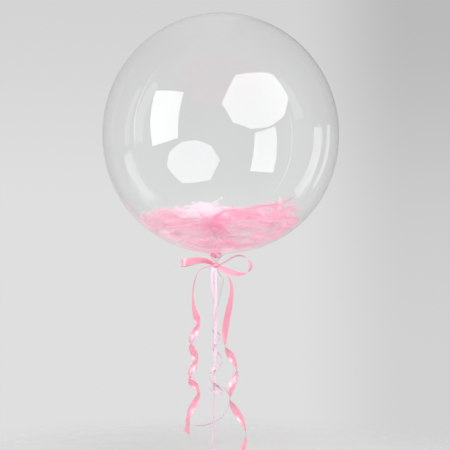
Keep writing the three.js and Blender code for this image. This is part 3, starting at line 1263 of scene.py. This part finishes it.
@dataclass(frozen=True)
class SatinBow:
    """The bow: two loops of satin and the knot that gathers them round the film's neck.

    Attributes:
        centre: Middle of the knot.
        radii: Half the knot's size along each axis.
        loop: How both loops are made up.
        band_half: Half the width of the band over the knot.
        band_wall: Thickness of the band.
    """

    centre: Vector
    radii: Vector
    loop: RibbonShape
    band_half: float = 0.0042
    band_wall: float = 0.0005

    CREASES = 9
    CREASE_DEPTH = 0.10
    BUNDLE_SHARE = 0.9
    BAND_ROWS = 17
    BAND_STEPS = 64
    BAND_FOLD = 0.00035
    BAND_BULGE = 0.16

    def build(self, satin: bpy.types.Material) -> list[bpy.types.Object]:
        """Make the loops, the knot's bundle and the band wrapped over it.

        Args:
            satin: The satin's finish.

        Returns:
            The bow's pieces.
        """
        pieces = []
        for name, route in (("bow_loop_left", LEFT_LOOP), ("bow_loop_right", RIGHT_LOOP)):
            pieces.append(dressed(name, self.loop.mesh(route), satin))
        pieces += [self._bundle(satin), self._band(satin)]
        return [fitted(piece, Slot.SATIN, "ribbon_bow") for piece in pieces]

    def _bundle(self, satin: bpy.types.Material) -> bpy.types.Object:
        """Make the gathered satin inside the band, creased from side to side.

        Args:
            satin: The satin's finish.

        Returns:
            The piece.
        """
        bm = bmesh.new()
        bm.loops.layers.uv.new(CHART)
        bmesh.ops.create_uvsphere(bm, u_segments=72, v_segments=28, radius=1, calc_uvs=True)
        for vert in bm.verts:
            angle = math.atan2(vert.co.y, vert.co.x)
            crease = 1 + self.CREASE_DEPTH * math.cos(self.CREASES * angle) * (0.35 + abs(vert.co.z))
            crease += 0.06 * noise.noise(vert.co * 2.1)
            vert.co = Vector((vert.co.z, vert.co.x * crease, vert.co.y * crease)) * self.BUNDLE_SHARE
        bmesh.ops.scale(bm, vec=self.radii, verts=bm.verts[:])
        bmesh.ops.translate(bm, vec=self.centre, verts=bm.verts[:])
        bmesh.ops.recalc_face_normals(bm, faces=bm.faces[:])
        return dressed("bow_knot", bm, satin, 60)

    def _band(self, satin: bpy.types.Material) -> bpy.types.Object:
        """Make the band that wraps over the knot from top to bottom, with folds along it.

        Args:
            satin: The satin's finish.

        Returns:
            The piece.
        """
        bm = bmesh.new()
        chart = bm.loops.layers.uv.new(CHART)
        outline = []
        for i in range(self.BAND_ROWS):
            across = i / (self.BAND_ROWS - 1) * 2 - 1
            fold = self.BAND_FOLD * math.cos(across * math.pi * 2.6 + 0.5)
            bulge = 1 - self.BAND_BULGE * across * across
            outline.append((across * self.band_half, 0, self.radii.z * bulge + fold))
        spun(bm, outline, (1, 0, 0), self.BAND_STEPS)
        for face in bm.faces:
            for loop in face.loops:
                place = loop.vert.co
                turn = math.atan2(place.y, place.z) / FULL_TURN
                loop[chart].uv = (place.x / self.band_half / 2 + 0.5, turn * 3)
        for vert in bm.verts:
            angle = math.atan2(vert.co.y, vert.co.z)
            sway = 0.0007 * math.sin(angle + 0.6) + 0.0003 * math.sin(3 * angle)
            vert.co.x = vert.co.x * (1 + 0.12 * math.cos(2 * angle)) + sway
        bmesh.ops.scale(bm, vec=(1, self.radii.y / self.radii.z, 1), verts=bm.verts[:])
        bmesh.ops.translate(bm, vec=self.centre, verts=bm.verts[:])
        bmesh.ops.recalc_face_normals(bm, faces=bm.faces[:])
        bmesh.ops.solidify(bm, geom=bm.faces[:], thickness=self.band_wall)
        return dressed("bow_band", bm, satin, 50)


@dataclass(frozen=True)
class TieDownLoop:
    """The loop tied in the tether's lower end, and its small overhand knot.

    Attributes:
        low: Lowest corner of the CAD loop.
        high: Highest corner of the CAD loop.
        shape: How the loop's ribbon is made up.
        loop_height: Height of the loop's top.
        knot_z: Height of the knot's middle.
        knot_radii: Half the knot's size along each axis.
        strand: Radius of the knot's bunched strand.
    """

    low: Vector
    high: Vector
    shape: RibbonShape
    loop_height: float = 0.031
    knot_z: float = 0.0335
    knot_radii: Vector = Vector((0.0042, 0.0036, 0.0048))
    strand: float = 0.0011

    LOOP_ROWS = 29
    LOOP_OPENING = 8
    STRAND_RINGS = 96
    STRAND_SIDES = 10
    STEP = 0.002

    def build(self, finish: bpy.types.Material) -> list[bpy.types.Object]:
        """Make the loop and the knot.

        Args:
            finish: The curling ribbon's finish.

        Returns:
            The pieces, both in place of the CAD loop.
        """
        ring = dressed("tie_down_loop", self.shape.mesh(self._route()), finish)
        knot = dressed("tie_down_knot", self._knot(), finish)
        return [fitted(piece, Slot.CURLING, "tether_loop") for piece in (ring, knot)]

    def _route(self) -> RibbonRoute:
        """Lead the ribbon out of the knot, round the loop and back in.

        Returns:
            The loop's route.
        """
        half_width = (self.high.x - self.low.x) / 2 - self.shape.thickness
        half_height = self.loop_height / 2 - self.shape.thickness
        rows = []
        for i in range(self.LOOP_ROWS):
            share = i / (self.LOOP_ROWS - 1)
            turn = math.radians(lerp(self.LOOP_OPENING, 360 - self.LOOP_OPENING, share))
            x = half_width * math.sin(turn)
            z = self.loop_height / 2 + half_height * math.cos(turn)
            rows.append((x, 0.0, z, 90.0, 0.0))
        return RibbonRoute(tuple(rows))

    def _strand_point(self, share: float) -> Vector:
        """Find the middle of the knot's strand at a share of its way round.

        Args:
            share: Share of the way round, from 0 to 1.

        Returns:
            The point.
        """
        turn = share * FULL_TURN
        flat_x = (math.sin(turn) + 2 * math.sin(2 * turn)) / 3
        flat_z = (math.cos(turn) - 2 * math.cos(2 * turn)) / 3
        deep = -math.sin(3 * turn)
        reach = self.knot_radii - Vector((self.strand,) * 3)
        return Vector((flat_x * reach.x, deep * reach.y, flat_z * reach.z + self.knot_z))

    def _knot(self) -> bmesh.types.BMesh:
        """Sweep a strand along an overhand knot.

        Returns:
            The closed strand.
        """
        bm = bmesh.new()
        bm.loops.layers.uv.new(CHART)
        rings = []
        for i in range(self.STRAND_RINGS):
            share = i / self.STRAND_RINGS
            heading = self._strand_point(share + self.STEP) - self._strand_point(share - self.STEP)
            turn = heading.to_track_quat("Z", "Y").to_matrix().to_4x4()
            place = Matrix.Translation(self._strand_point(share)) @ turn
            made = bmesh.ops.create_circle(
                bm, segments=self.STRAND_SIDES, radius=self.strand, matrix=place
            )
            rings.append(set(made["verts"]))
        loops = [[edge for edge in bm.edges if ring.issuperset(edge.verts)] for ring in rings]
        for start, end in zip(loops, loops[1:] + loops[:1]):
            bmesh.ops.bridge_loops(bm, edges=start + end)
        bmesh.ops.recalc_face_normals(bm, faces=bm.faces[:])
        return bm


# ---- The down ----


@dataclass(frozen=True)
class DownPlume:
    """One marabou plume: a curved quill with long soft barbs on both sides.

    Attributes:
        length: Length of its quill.
        spread: Reach of its barbs to either side.
        barbs: Number of barbs.
        bend: How far it curls, in radians.
    """

    length: float
    spread: float
    barbs: int
    bend: float

    BARB_WIDTHS = (0.00028, 0.0005)
    BARB_REACHES = (0.6, 1.2)
    BARB_BENDS = (-0.2, 0.8)
    # Degrees that the barbs lean out from the quill at its root, and the share left at its tip.
    LEANS = (30, 82)
    TIP_LEAN = 0.4
    LIFT = 0.28
    QUILL_WIDTH = 0.0005
    QUILL_SHARE = 0.96
    FLATNESS = 0.35
    TAPER = 0.7

    def mesh(self, rng: random.Random) -> bpy.types.Mesh:
        """Model the plume along +X with its barbs near the XY plane.

        Args:
            rng: Source of its small irregularities.

        Returns:
            The plume's mesh.
        """
        bm = bmesh.new()
        quill = Vector((1, 0, self.bend * 0.3)).normalized()
        self._spike(bm, Vector(), quill, self.length, self.QUILL_WIDTH, self.bend)
        for i in range(self.barbs):
            share = (i + rng.random()) / self.barbs
            side = 1 if i % 2 else -1
            lean = math.radians(rng.uniform(*self.LEANS) * lerp(1, self.TIP_LEAN, share))
            lift = rng.gauss(0, self.LIFT)
            heading = Vector((math.cos(lean), side * math.sin(lean), lift)).normalized()
            reach = self.spread * (0.4 + 0.8 * math.sin(math.pi * lerp(0.15, 0.92, share)))
            reach *= rng.uniform(*self.BARB_REACHES)
            width = rng.uniform(*self.BARB_WIDTHS)
            bend = side * rng.uniform(*self.BARB_BENDS)
            self._spike(bm, self._quill_point(share), heading, reach, width, bend)
        mesh = bpy.data.meshes.new("plume")
        bm.to_mesh(mesh)
        bm.free()
        return mesh

    def _quill_point(self, share: float) -> Vector:
        """Find a point along the bent quill."""
        sag = self.bend * self.length * share * share * 0.4
        return Vector((share * self.length * self.QUILL_SHARE, 0, sag))

    def _spike(
        self,
        bm: bmesh.types.BMesh,
        root: Vector,
        heading: Vector,
        length: float,
        width: float,
        bend: float,
    ) -> None:
        """Grow one flat tapering spike, bent halfway along.

        Args:
            bm: Mesh to add it to.
            root: Where it starts.
            heading: The way it leaves.
            length: Its length.
            width: Its width at the root.
            bend: How far it turns aside, in radians.
        """
        turn = heading.to_track_quat("Z", "Y").to_matrix().to_4x4()
        start = Matrix.Translation(root) @ turn @ Matrix.Diagonal((1, self.FLATNESS, 1, 1))
        made = bmesh.ops.create_cone(
            bm,
            cap_ends=True,
            segments=3,
            radius1=width,
            radius2=width * self.TAPER,
            depth=length / 2,
            matrix=start @ Matrix.Translation((0, 0, length / 4)),
        )
        tip_ring = sorted(made["verts"], key=lambda vert: (vert.co - root).dot(heading))[3:]
        cap = next(face for face in tip_ring[0].link_faces if set(face.verts) == set(tip_ring))
        aside = turn.to_3x3() @ Vector((0, 1, 0)) * math.sin(bend) + heading * math.cos(bend)
        poked = bmesh.ops.poke(bm, faces=[cap])
        bmesh.ops.translate(bm, vec=aside * length / 2, verts=poked["verts"])


class Lie(NamedTuple):
    """How one plume lies: where, how it is turned, and how pale it is."""

    place: Matrix
    tone: float


class Tuft(NamedTuple):
    """A patch of like plumes: its middle, spread and count, and the plumes' tone and swing."""

    middle: tuple[float, float, float]
    spread: tuple[float, float, float]
    count: int
    tone: float
    swing: float


class Wisp(NamedTuple):
    """A single plume stretched along the film from one place to another, and its tone."""

    start: tuple[float, float, float]
    end: tuple[float, float, float]
    tone: float


@dataclass(frozen=True)
class DownPile:
    """The feathers that lie in the bubble's belly and cling to its film.

    Attributes:
        film: The bubble that holds them.
        batches: Number of pieces that share the plumes.
        loose: Number of plumes besides the tufts and wisps.
        touch_z: Height up to which the pile touches the film.
        mound: How far the pile's middle rises above that.
        gap: Room left between the plumes and the film.
        floor_z: Height of the belly's floor, at the neck's mouth.
        neck_floor: How far down the neck the down reaches.
    """

    film: FilmBubble
    batches: int = 4
    loose: int = 360
    touch_z: float = 0.530
    mound: float = 0.030
    gap: float = 0.003
    floor_z: float = FilmBubble.NECK_MOUTH
    neck_floor: float = 0.4575

    NECK_REACH = 0.016
    FLOOR_GAP = 0.0009
    BARB_GAP = 0.0012
    RIM = 0.006
    SHAPES = 8
    BARBS = 120
    LENGTHS = (0.058, 0.09)
    SPREADS = (0.015, 0.024)
    BENDS = (0.15, 0.6)
    # Of every ten loose plumes, this many cling to the film.
    CLINGING = 6
    LOOSE_SCALES = (0.65, 1.1)
    LOOSE_SWING = 0.45
    LOOSE_SETBACK = 0.03
    TUFT_SCALES = (0.42, 0.75)
    TUFT_SETBACK = 0.035
    TUFT_DENSITY = 0.6
    WISP_LENGTH = 0.075
    WISP_SCALES = (0.7, 0.5)
    TUFTS = (
        Tuft((0.000, -0.136, 0.552), (0.036, 0.010, 0.011), 44, 1.0, 0.3),
        Tuft((-0.040, -0.128, 0.552), (0.022, 0.012, 0.010), 14, 0.92, 0.4),
        Tuft((0.012, -0.150, 0.524), (0.020, 0.008, 0.013), 20, 0.02, 1.2),
        Tuft((0.062, -0.132, 0.546), (0.050, 0.012, 0.006), 16, 0.40, 0.2),
        Tuft((0.140, -0.075, 0.556), (0.020, 0.03, 0.012), 18, 0.5, 0.45),
        Tuft((-0.112, -0.095, 0.545), (0.030, 0.03, 0.012), 22, 0.7, 0.4),
        Tuft((-0.120, -0.020, 0.520), (0.025, 0.04, 0.012), 14, 0.62, 0.6),
        Tuft((0.009, 0.0, 0.464), (0.008, 0.008, 0.006), 14, 0.25, 1.5),
        Tuft((0.020, -0.075, 0.486), (0.050, 0.02, 0.007), 26, 0.14, 0.5),
        Tuft((0.115, -0.120, 0.520), (0.030, 0.02, 0.014), 16, 0.75, 0.5),
    )
    WISPS = (
        Wisp((-0.190, -0.012, 0.584), (-0.150, -0.030, 0.530), 0.22),
        Wisp((-0.186, -0.030, 0.574), (-0.140, -0.036, 0.520), 0.35),
        Wisp((-0.176, -0.020, 0.560), (-0.120, -0.050, 0.506), 0.55),
        Wisp((0.176, -0.050, 0.588), (0.120, -0.120, 0.558), 0.35),
        Wisp((0.150, -0.090, 0.572), (0.070, -0.150, 0.558), 0.25),
        Wisp((0.100, -0.145, 0.562), (0.030, -0.165, 0.552), 0.22),
        Wisp((0.166, -0.070, 0.570), (0.150, -0.070, 0.520), 0.6),
    )

    def top_at(self, x: float, y: float) -> float:
        """Height of the pile's top over a point of the ground.

        Args:
            x: Place from left to right.
            y: Place from front to back.

        Returns:
            The height.
        """
        reach = self.film.radius_at(self.touch_z)
        off = math.hypot(x - self.film.middle_x, y) / reach
        bumps = 0.009 * noise.noise(Vector((x * 22, y * 22, 4)))
        return self.touch_z + self.mound * math.sqrt(max(1 - off * off, 0)) + bumps

    def _tone(self, place: Vector, rng: random.Random) -> float:
        """Choose how pale a loose plume is, from 0, deep pink, to 1, nearly white."""
        drift = 0.5 * noise.noise(place * 18)
        return min(max(0.50 + drift + rng.uniform(-0.2, 0.2), 0), 1)

    def _turned(self, place: Vector, heading: Vector, scale: Vector) -> Matrix:
        """Lay a plume along a heading with its barbs spread along the film.

        Args:
            place: The plume's root.
            heading: The way it points.
            scale: Its size along each of its axes.

        Returns:
            The placing matrix.
        """
        outward = (place - Vector((self.film.middle_x, 0, self.film.widest_z))).normalized()
        heading = heading.normalized()
        inward = (heading * outward.dot(heading) - outward).normalized()
        turn = Matrix((heading, inward.cross(heading), inward)).transposed().to_4x4()
        return Matrix.Translation(place) @ turn @ Matrix.Diagonal((*scale, 1))

    def _loose_lie(self, index: int, rng: random.Random) -> Lie:
        """Choose where one plume of the pile lies.

        Args:
            index: The plume's number.
            rng: Source of its irregularities.

        Returns:
            How it lies.
        """
        on_film = index % 10 < self.CLINGING
        lowest = self.floor_z + self.RIM
        highest = self.touch_z + self.RIM
        while True:
            angle = rng.uniform(0, FULL_TURN)
            if on_film:
                z = lerp(lowest, highest, rng.random() ** 0.75)
                radius = self.film.radius_at(z) - self.gap - rng.uniform(0, 0.01)
            else:
                radius = self.film.radius_at(self.touch_z) * math.sqrt(rng.random()) * 0.94
            x = self.film.middle_x + radius * math.cos(angle)
            y = radius * math.sin(angle)
            place = Vector((x, y, z if on_film else self.top_at(x, y) - rng.uniform(0.0, 0.02)))
            if 0 < radius < self.film.radius_at(place.z) - self.gap and place.z > self.floor_z:
                break
        around = Vector((-math.sin(angle), math.cos(angle), 0))
        inwards = Vector((-math.cos(angle), -math.sin(angle), 0.25 if on_film else 0.0))
        swing = rng.gauss(0, self.LOOSE_SWING)
        heading = around * math.cos(swing) * rng.choice((-1, 1)) + inwards * math.sin(swing)
        place -= heading * self.LOOSE_SETBACK
        size = rng.uniform(*self.LOOSE_SCALES)
        return Lie(self._turned(place, heading, Vector((size, size, size))), self._tone(place, rng))

    def _tuft_lie(self, tuft: Tuft, rng: random.Random) -> Lie:
        """Choose where one plume of a tuft lies.

        Args:
            tuft: The tuft.
            rng: Source of its irregularities.

        Returns:
            How it lies.
        """
        place = Vector(
            rng.gauss(centre, reach * self.TUFT_DENSITY)
            for centre, reach in zip(tuft.middle, tuft.spread)
        )
        turn = rng.gauss(0, tuft.swing)
        heading = Vector((math.cos(turn), 0.15 * rng.gauss(0, 1), math.sin(turn) * 0.7))
        heading *= rng.choice((-1, 1))
        size = rng.uniform(*self.TUFT_SCALES)
        tone = min(max(tuft.tone + rng.uniform(-0.08, 0.08), 0), 1)
        start = place - heading.normalized() * self.TUFT_SETBACK * size
        return Lie(self._turned(start, heading, Vector((size, size, size))), tone)

    def _wisp_lie(self, wisp: Wisp) -> Lie:
        """Stretch a wisp's plume between its ends.

        Args:
            wisp: The wisp.

        Returns:
            How it lies.
        """
        way = Vector(wisp.end) - Vector(wisp.start)
        scale = Vector((way.length / self.WISP_LENGTH, *self.WISP_SCALES))
        return Lie(self._turned(Vector(wisp.start), way, scale), wisp.tone)

    def build(self, down: bpy.types.Material) -> list[bpy.types.Object]:
        """Scatter the plumes.

        Args:
            down: The down's finish.

        Returns:
            The feather pieces, each a share of the plumes.
        """
        rng = random.Random(SPREAD_SEED)
        shapes = []
        for _ in range(self.SHAPES):
            length = rng.uniform(*self.LENGTHS)
            plume = DownPlume(length, rng.uniform(*self.SPREADS), self.BARBS, rng.uniform(*self.BENDS))
            shapes.append(plume.mesh(rng))
        lies = [self._tuft_lie(tuft, rng) for tuft in self.TUFTS for _ in range(tuft.count)]
        lies += [self._wisp_lie(wisp) for wisp in self.WISPS]
        lies += [self._loose_lie(index, rng) for index in range(self.loose)]
        pieces = []
        for batch in range(self.batches):
            bm = bmesh.new()
            for lie in lies[batch :: self.batches]:
                plume = rng.choice(shapes).copy()
                plume.transform(lie.place)
                plume.attributes.new(TONE, "FLOAT", "POINT")
                plume.attributes[TONE].data.foreach_set("value", [lie.tone] * len(plume.vertices))
                bm.from_mesh(plume)
                bpy.data.meshes.remove(plume)
            for vert in bm.verts:
                self._keep_inside(vert.co)
            piece = dressed(f"down_feathers_{batch + 1}", bm, down, 180)
            piece.visible_shadow = False
            pieces.append(fitted(piece, Slot.DOWN))
        return pieces

    def _keep_inside(self, place: Vector) -> None:
        """Press a point of a barb that would pierce the film back inside it.

        Args:
            place: The point, which is moved.
        """
        in_neck = math.hypot(place.x - self.film.neck_x, place.y) < self.NECK_REACH
        place.z = max(place.z, self.neck_floor if in_neck else self.floor_z + self.FLOOR_GAP)
        axis = self.film.middle_x
        room = self.film.radius_at(place.z) - self.BARB_GAP
        if place.z < self.floor_z:
            axis = self.film.neck_x
            room = self.film.room_at(place.z)
        x = place.x - axis
        reach = math.hypot(x, place.y)
        if reach > room:
            place.x = axis + x * room / reach
            place.y *= room / reach


# ---- The studio ----


@dataclass(frozen=True)
class StudioCard:
    """A flat light: a softbox, a window or a strip, seen in the film and lighting the balloon.

    Attributes:
        name: Its name.
        centre: Where its middle stands.
        facing: The way it shines.
        half_width: Half its width.
        half_height: Half its height.
        radiance: How bright it is.
        sides: Number of its sides.
        roll: Turn of its outline, made before it is drawn out to its width and height.
    """

    name: str
    centre: Vector
    facing: Vector
    half_width: float
    half_height: float
    radiance: float
    sides: int = 4
    roll: float = 0.0

    def build(self) -> None:
        """Make the card and its light."""
        bm = bmesh.new()
        corner = 1 / math.cos(math.pi / self.sides)
        bmesh.ops.create_circle(bm, cap_ends=True, segments=self.sides, radius=corner)
        outline_turn = Matrix.Rotation(math.pi / self.sides + self.roll, 3, "Z")
        bmesh.ops.rotate(bm, matrix=outline_turn, verts=bm.verts[:])
        bmesh.ops.scale(bm, vec=(self.half_width, self.half_height, 1), verts=bm.verts[:])
        turn = self.facing.to_track_quat("Z", "Y").to_matrix().to_4x4()
        bmesh.ops.transform(bm, matrix=Matrix.Translation(self.centre) @ turn, verts=bm.verts[:])
        card = dressed(self.name, bm, self._glow())
        card.visible_camera = False
        card.visible_shadow = False

    def _glow(self) -> bpy.types.Material:
        """Light that shows in reflections and on surfaces, but not straight through clear film.

        Returns:
            The card's material.
        """
        material = bpy.data.materials.new(self.name)
        material.use_nodes = True
        shading = Shading(material.node_tree)
        material.node_tree.nodes.remove(material.node_tree.nodes["Principled BSDF"])
        path = shading.add("LightPath").outputs
        bounces = shading.math("ADD", path["Glossy Depth"], path["Diffuse Depth"])
        straight = shading.math("LESS_THAN", bounces, 0.5)
        through = shading.math("MULTIPLY", straight, path["Is Transmission Ray"])
        strength = shading.math("MULTIPLY_ADD", through, -self.radiance, self.radiance)
        glow = shading.add("Emission", Strength=strength)
        shading.tree.links.new(glow.outputs[0], shading.tree.nodes["Material Output"].inputs[0])
        return material


@dataclass(frozen=True)
class Studio:
    """The plain studio round the balloon: camera, backdrop tone, floor and lights.

    Attributes:
        camera_place: Where the camera stands.
        field_width: Width that it sees at the balloon.
        low_tone: The backdrop low down.
        high_tone: The backdrop high up.
        wing_tone: What the sides fade towards.
        room_tone: What the camera's side of the room fades towards.
        floor_tone: The floor.
        window_distance: From the balloon to the windows at its sides.
    """

    camera_place: Vector = Vector((0.0276, -2.6, 0.528))
    field_width: float = 0.954
    low_tone: Colour = (0.735, 0.737, 0.735)
    high_tone: Colour = (0.655, 0.655, 0.655)
    wing_tone: Colour = (0.34, 0.34, 0.34)
    room_tone: Colour = (0.3, 0.3, 0.3)
    floor_tone: Colour = (0.72, 0.72, 0.715)
    window_distance: float = 1.5

    SENSOR = 36
    BLACK = (0.0, 0.0, 0.0)
    # Name, degrees round from the camera, height, half width, half height and radiance.
    WINDOWS = (
        ("side_card_right", 99, 0.24, 0.17, 0.61, 1.42),
        ("side_card_far_right", 117, 0.47, 0.09, 0.42, 1.15),
        ("side_card_left", -96, -0.10, 0.17, 0.55, 1.35),
    )

    def place_camera(self) -> None:
        """Stand the camera level with the bow's tails, square to the broad view."""
        lens = bpy.data.cameras.new("camera")
        lens.sensor_width = self.SENSOR
        lens.lens = self.SENSOR * -self.camera_place.y / self.field_width
        camera = bpy.data.objects.new("camera", lens)
        camera.location = self.camera_place
        camera.rotation_euler = (math.pi / 2, 0, 0)
        bpy.context.scene.collection.objects.link(camera)
        bpy.context.scene.camera = camera

    def tone_backdrop(self) -> None:
        """Tone the surroundings: pale below, a little darker above and towards the right."""
        world = bpy.data.worlds.new("studio")
        world.use_nodes = True
        bpy.context.scene.world = world
        shading = Shading(world.node_tree)
        way = shading.add("SeparateXYZ", Vector=shading.add("TexCoord").outputs["Generated"]).outputs
        height = shading.remap(way[2], 0.0, 0.19)
        tone = shading.blend(height, rgba(self.low_tone), rgba(self.high_tone))
        right = shading.math("MULTIPLY", shading.remap(way[0], 0.05, 0.15), shading.remap(way[1], 0.0, 0.3))
        shade = shading.math("MULTIPLY", right, shading.remap(way[2], -0.12, 0.17, 0.13, 0.25))
        tone = shading.blend(shade, tone, rgba(self.BLACK))
        aside = shading.remap(shading.math("ABSOLUTE", way[0]), 0.2, 0.5, 0, 0.28)
        tone = shading.blend(aside, tone, rgba(self.wing_tone))
        behind = shading.remap(way[1], -0.2, -0.8, 0, 0.5)
        tone = shading.blend(behind, tone, rgba(self.room_tone))
        ground = world.node_tree.nodes["Background"]
        shading.tree.links.new(tone, ground.inputs[0])
        ground.inputs[1].default_value = 1.0

    def lay_floor(self) -> None:
        """Lay a plain pale floor that fades into the backdrop."""
        bm = bmesh.new()
        bmesh.ops.create_circle(bm, cap_ends=True, segments=96, radius=0.9)
        bmesh.ops.translate(bm, vec=(0, 0, -0.001), verts=bm.verts[:])
        material, shading, shader = new_material("pale floor")
        place = shading.add("TexCoord").outputs["Object"]
        reach = shading.add("VectorMath", {"operation": "LENGTH"}, input_0=place).outputs["Value"]
        fade = shading.remap(reach, 0.22, 0.86, 1, 0)
        shading.tree.links.new(fade, shader.inputs["Alpha"])
        plain = {"Base Color": rgba(self.floor_tone), "Roughness": 0.9, "Specular IOR Level": 0.0}
        set_plain(shader, plain)
        floor = dressed("floor", bm, material)

    def set_lights(self) -> None:
        """Set the octagonal and the square softbox, the windows and the bright stand."""
        StudioCard(
            "octagonal_softbox",
            centre=Vector((0.756, -1.027, 1.116)),
            facing=Vector((-0.139, 0.476, -0.868)),
            half_width=0.672,
            half_height=0.649,
            radiance=4.3,
            sides=8,
            roll=math.radians(-14.3),
        ).build()
        StudioCard(
            "square_softbox",
            centre=Vector((-1.124, -0.958, 1.033)),
            facing=Vector((0.856, 0.452, -0.249)),
            half_width=0.376,
            half_height=0.532,
            radiance=4.8,
            roll=math.radians(-6.2),
        ).build()
        for name, azimuth, height, half_width, half_height, radiance in self.WINDOWS:
            turn = math.radians(azimuth)
            way = Vector((math.sin(turn), -math.cos(turn), 0))
            centre = way * self.window_distance + Vector((0, 0, height))
            StudioCard(name, centre, -way, half_width, half_height, radiance).build()
        StudioCard(
            "light_stand",
            centre=Vector((-1.54, -0.185, 1.41)),
            facing=Vector((1, 0, 0)),
            half_width=0.005,
            half_height=1.08,
            radiance=6.0,
            roll=math.radians(-23.7),
        ).build()

    def build(self) -> None:
        """Make everything but the camera."""
        self.tone_backdrop()
        self.lay_floor()
        self.set_lights()
        bpy.context.scene.view_settings.view_transform = "Standard"


# ---- The balloon ----


def main() -> None:
    """Build the balloon, part by part."""
    logging.basicConfig(level=logging.INFO, format="%(name)s: %(message)s")
    studio = Studio()
    studio.place_camera()
    build_threads_and_painted_sheen()
    build_selvedge()
    build_clouds()
    satin = SatinFinish().material()
    curling = CurlingFinish().material()
    down = DownFinish().material()
    film = FilmFinish().material()

    tail = RibbonShape(SATIN_WIDTH, SATIN_THICKNESS, 320, gather=(0.45, 1), slant=0.3, cup=0.02)
    for name, node, route in (
        ("satin_tail_left", "bow_tail_left", LEFT_TAIL),
        ("satin_tail_right", "bow_tail_right", RIGHT_TAIL),
    ):
        FreeRibbon(name, node, Slot.SATIN, route, tail, Stiffness.LIMP, Lay.HANGING).build(satin)

    doubled = RibbonShape(CURLING_WIDTH, EYE_THICKNESS, 96, bands=4)
    loop_pieces = TieDownLoop(*map(Vector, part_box("tether_loop")), doubled).build(curling)
    FreeRibbon(
        "tether",
        "tether_ribbon",
        Slot.CURLING,
        TETHER,
        RibbonShape(CURLING_WIDTH, CURLING_THICKNESS, 240, bands=4),
        Stiffness.MEDIUM,
        Lay.TAUT,
        FarEnd.KNOT,
    ).build(curling, loop_pieces)
    FreeRibbon(
        "tether_spare_curl",
        "tether_curl",
        Slot.CURLING,
        TETHER_CURL,
        RibbonShape(CURLING_WIDTH, CURLING_THICKNESS, 420, bands=4),
        Stiffness.MEDIUM,
        Lay.HANGING,
    ).build(curling)

    bubble = FilmBubble(*map(Vector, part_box("bubble")))
    bubble.build(film)
    knot_centre = Vector((bubble.neck_x, 0, bubble.knot_z))
    loops = RibbonShape(SATIN_WIDTH, SATIN_THICKNESS, 200, gather=(0.45, 0.45), cup=0.015)
    SatinBow(knot_centre, Vector((0.006, 0.0065, 0.0055)), loops).build(satin)
    DownPile(bubble).build(down)
    studio.build()


if __name__ == "__main__":
    main()
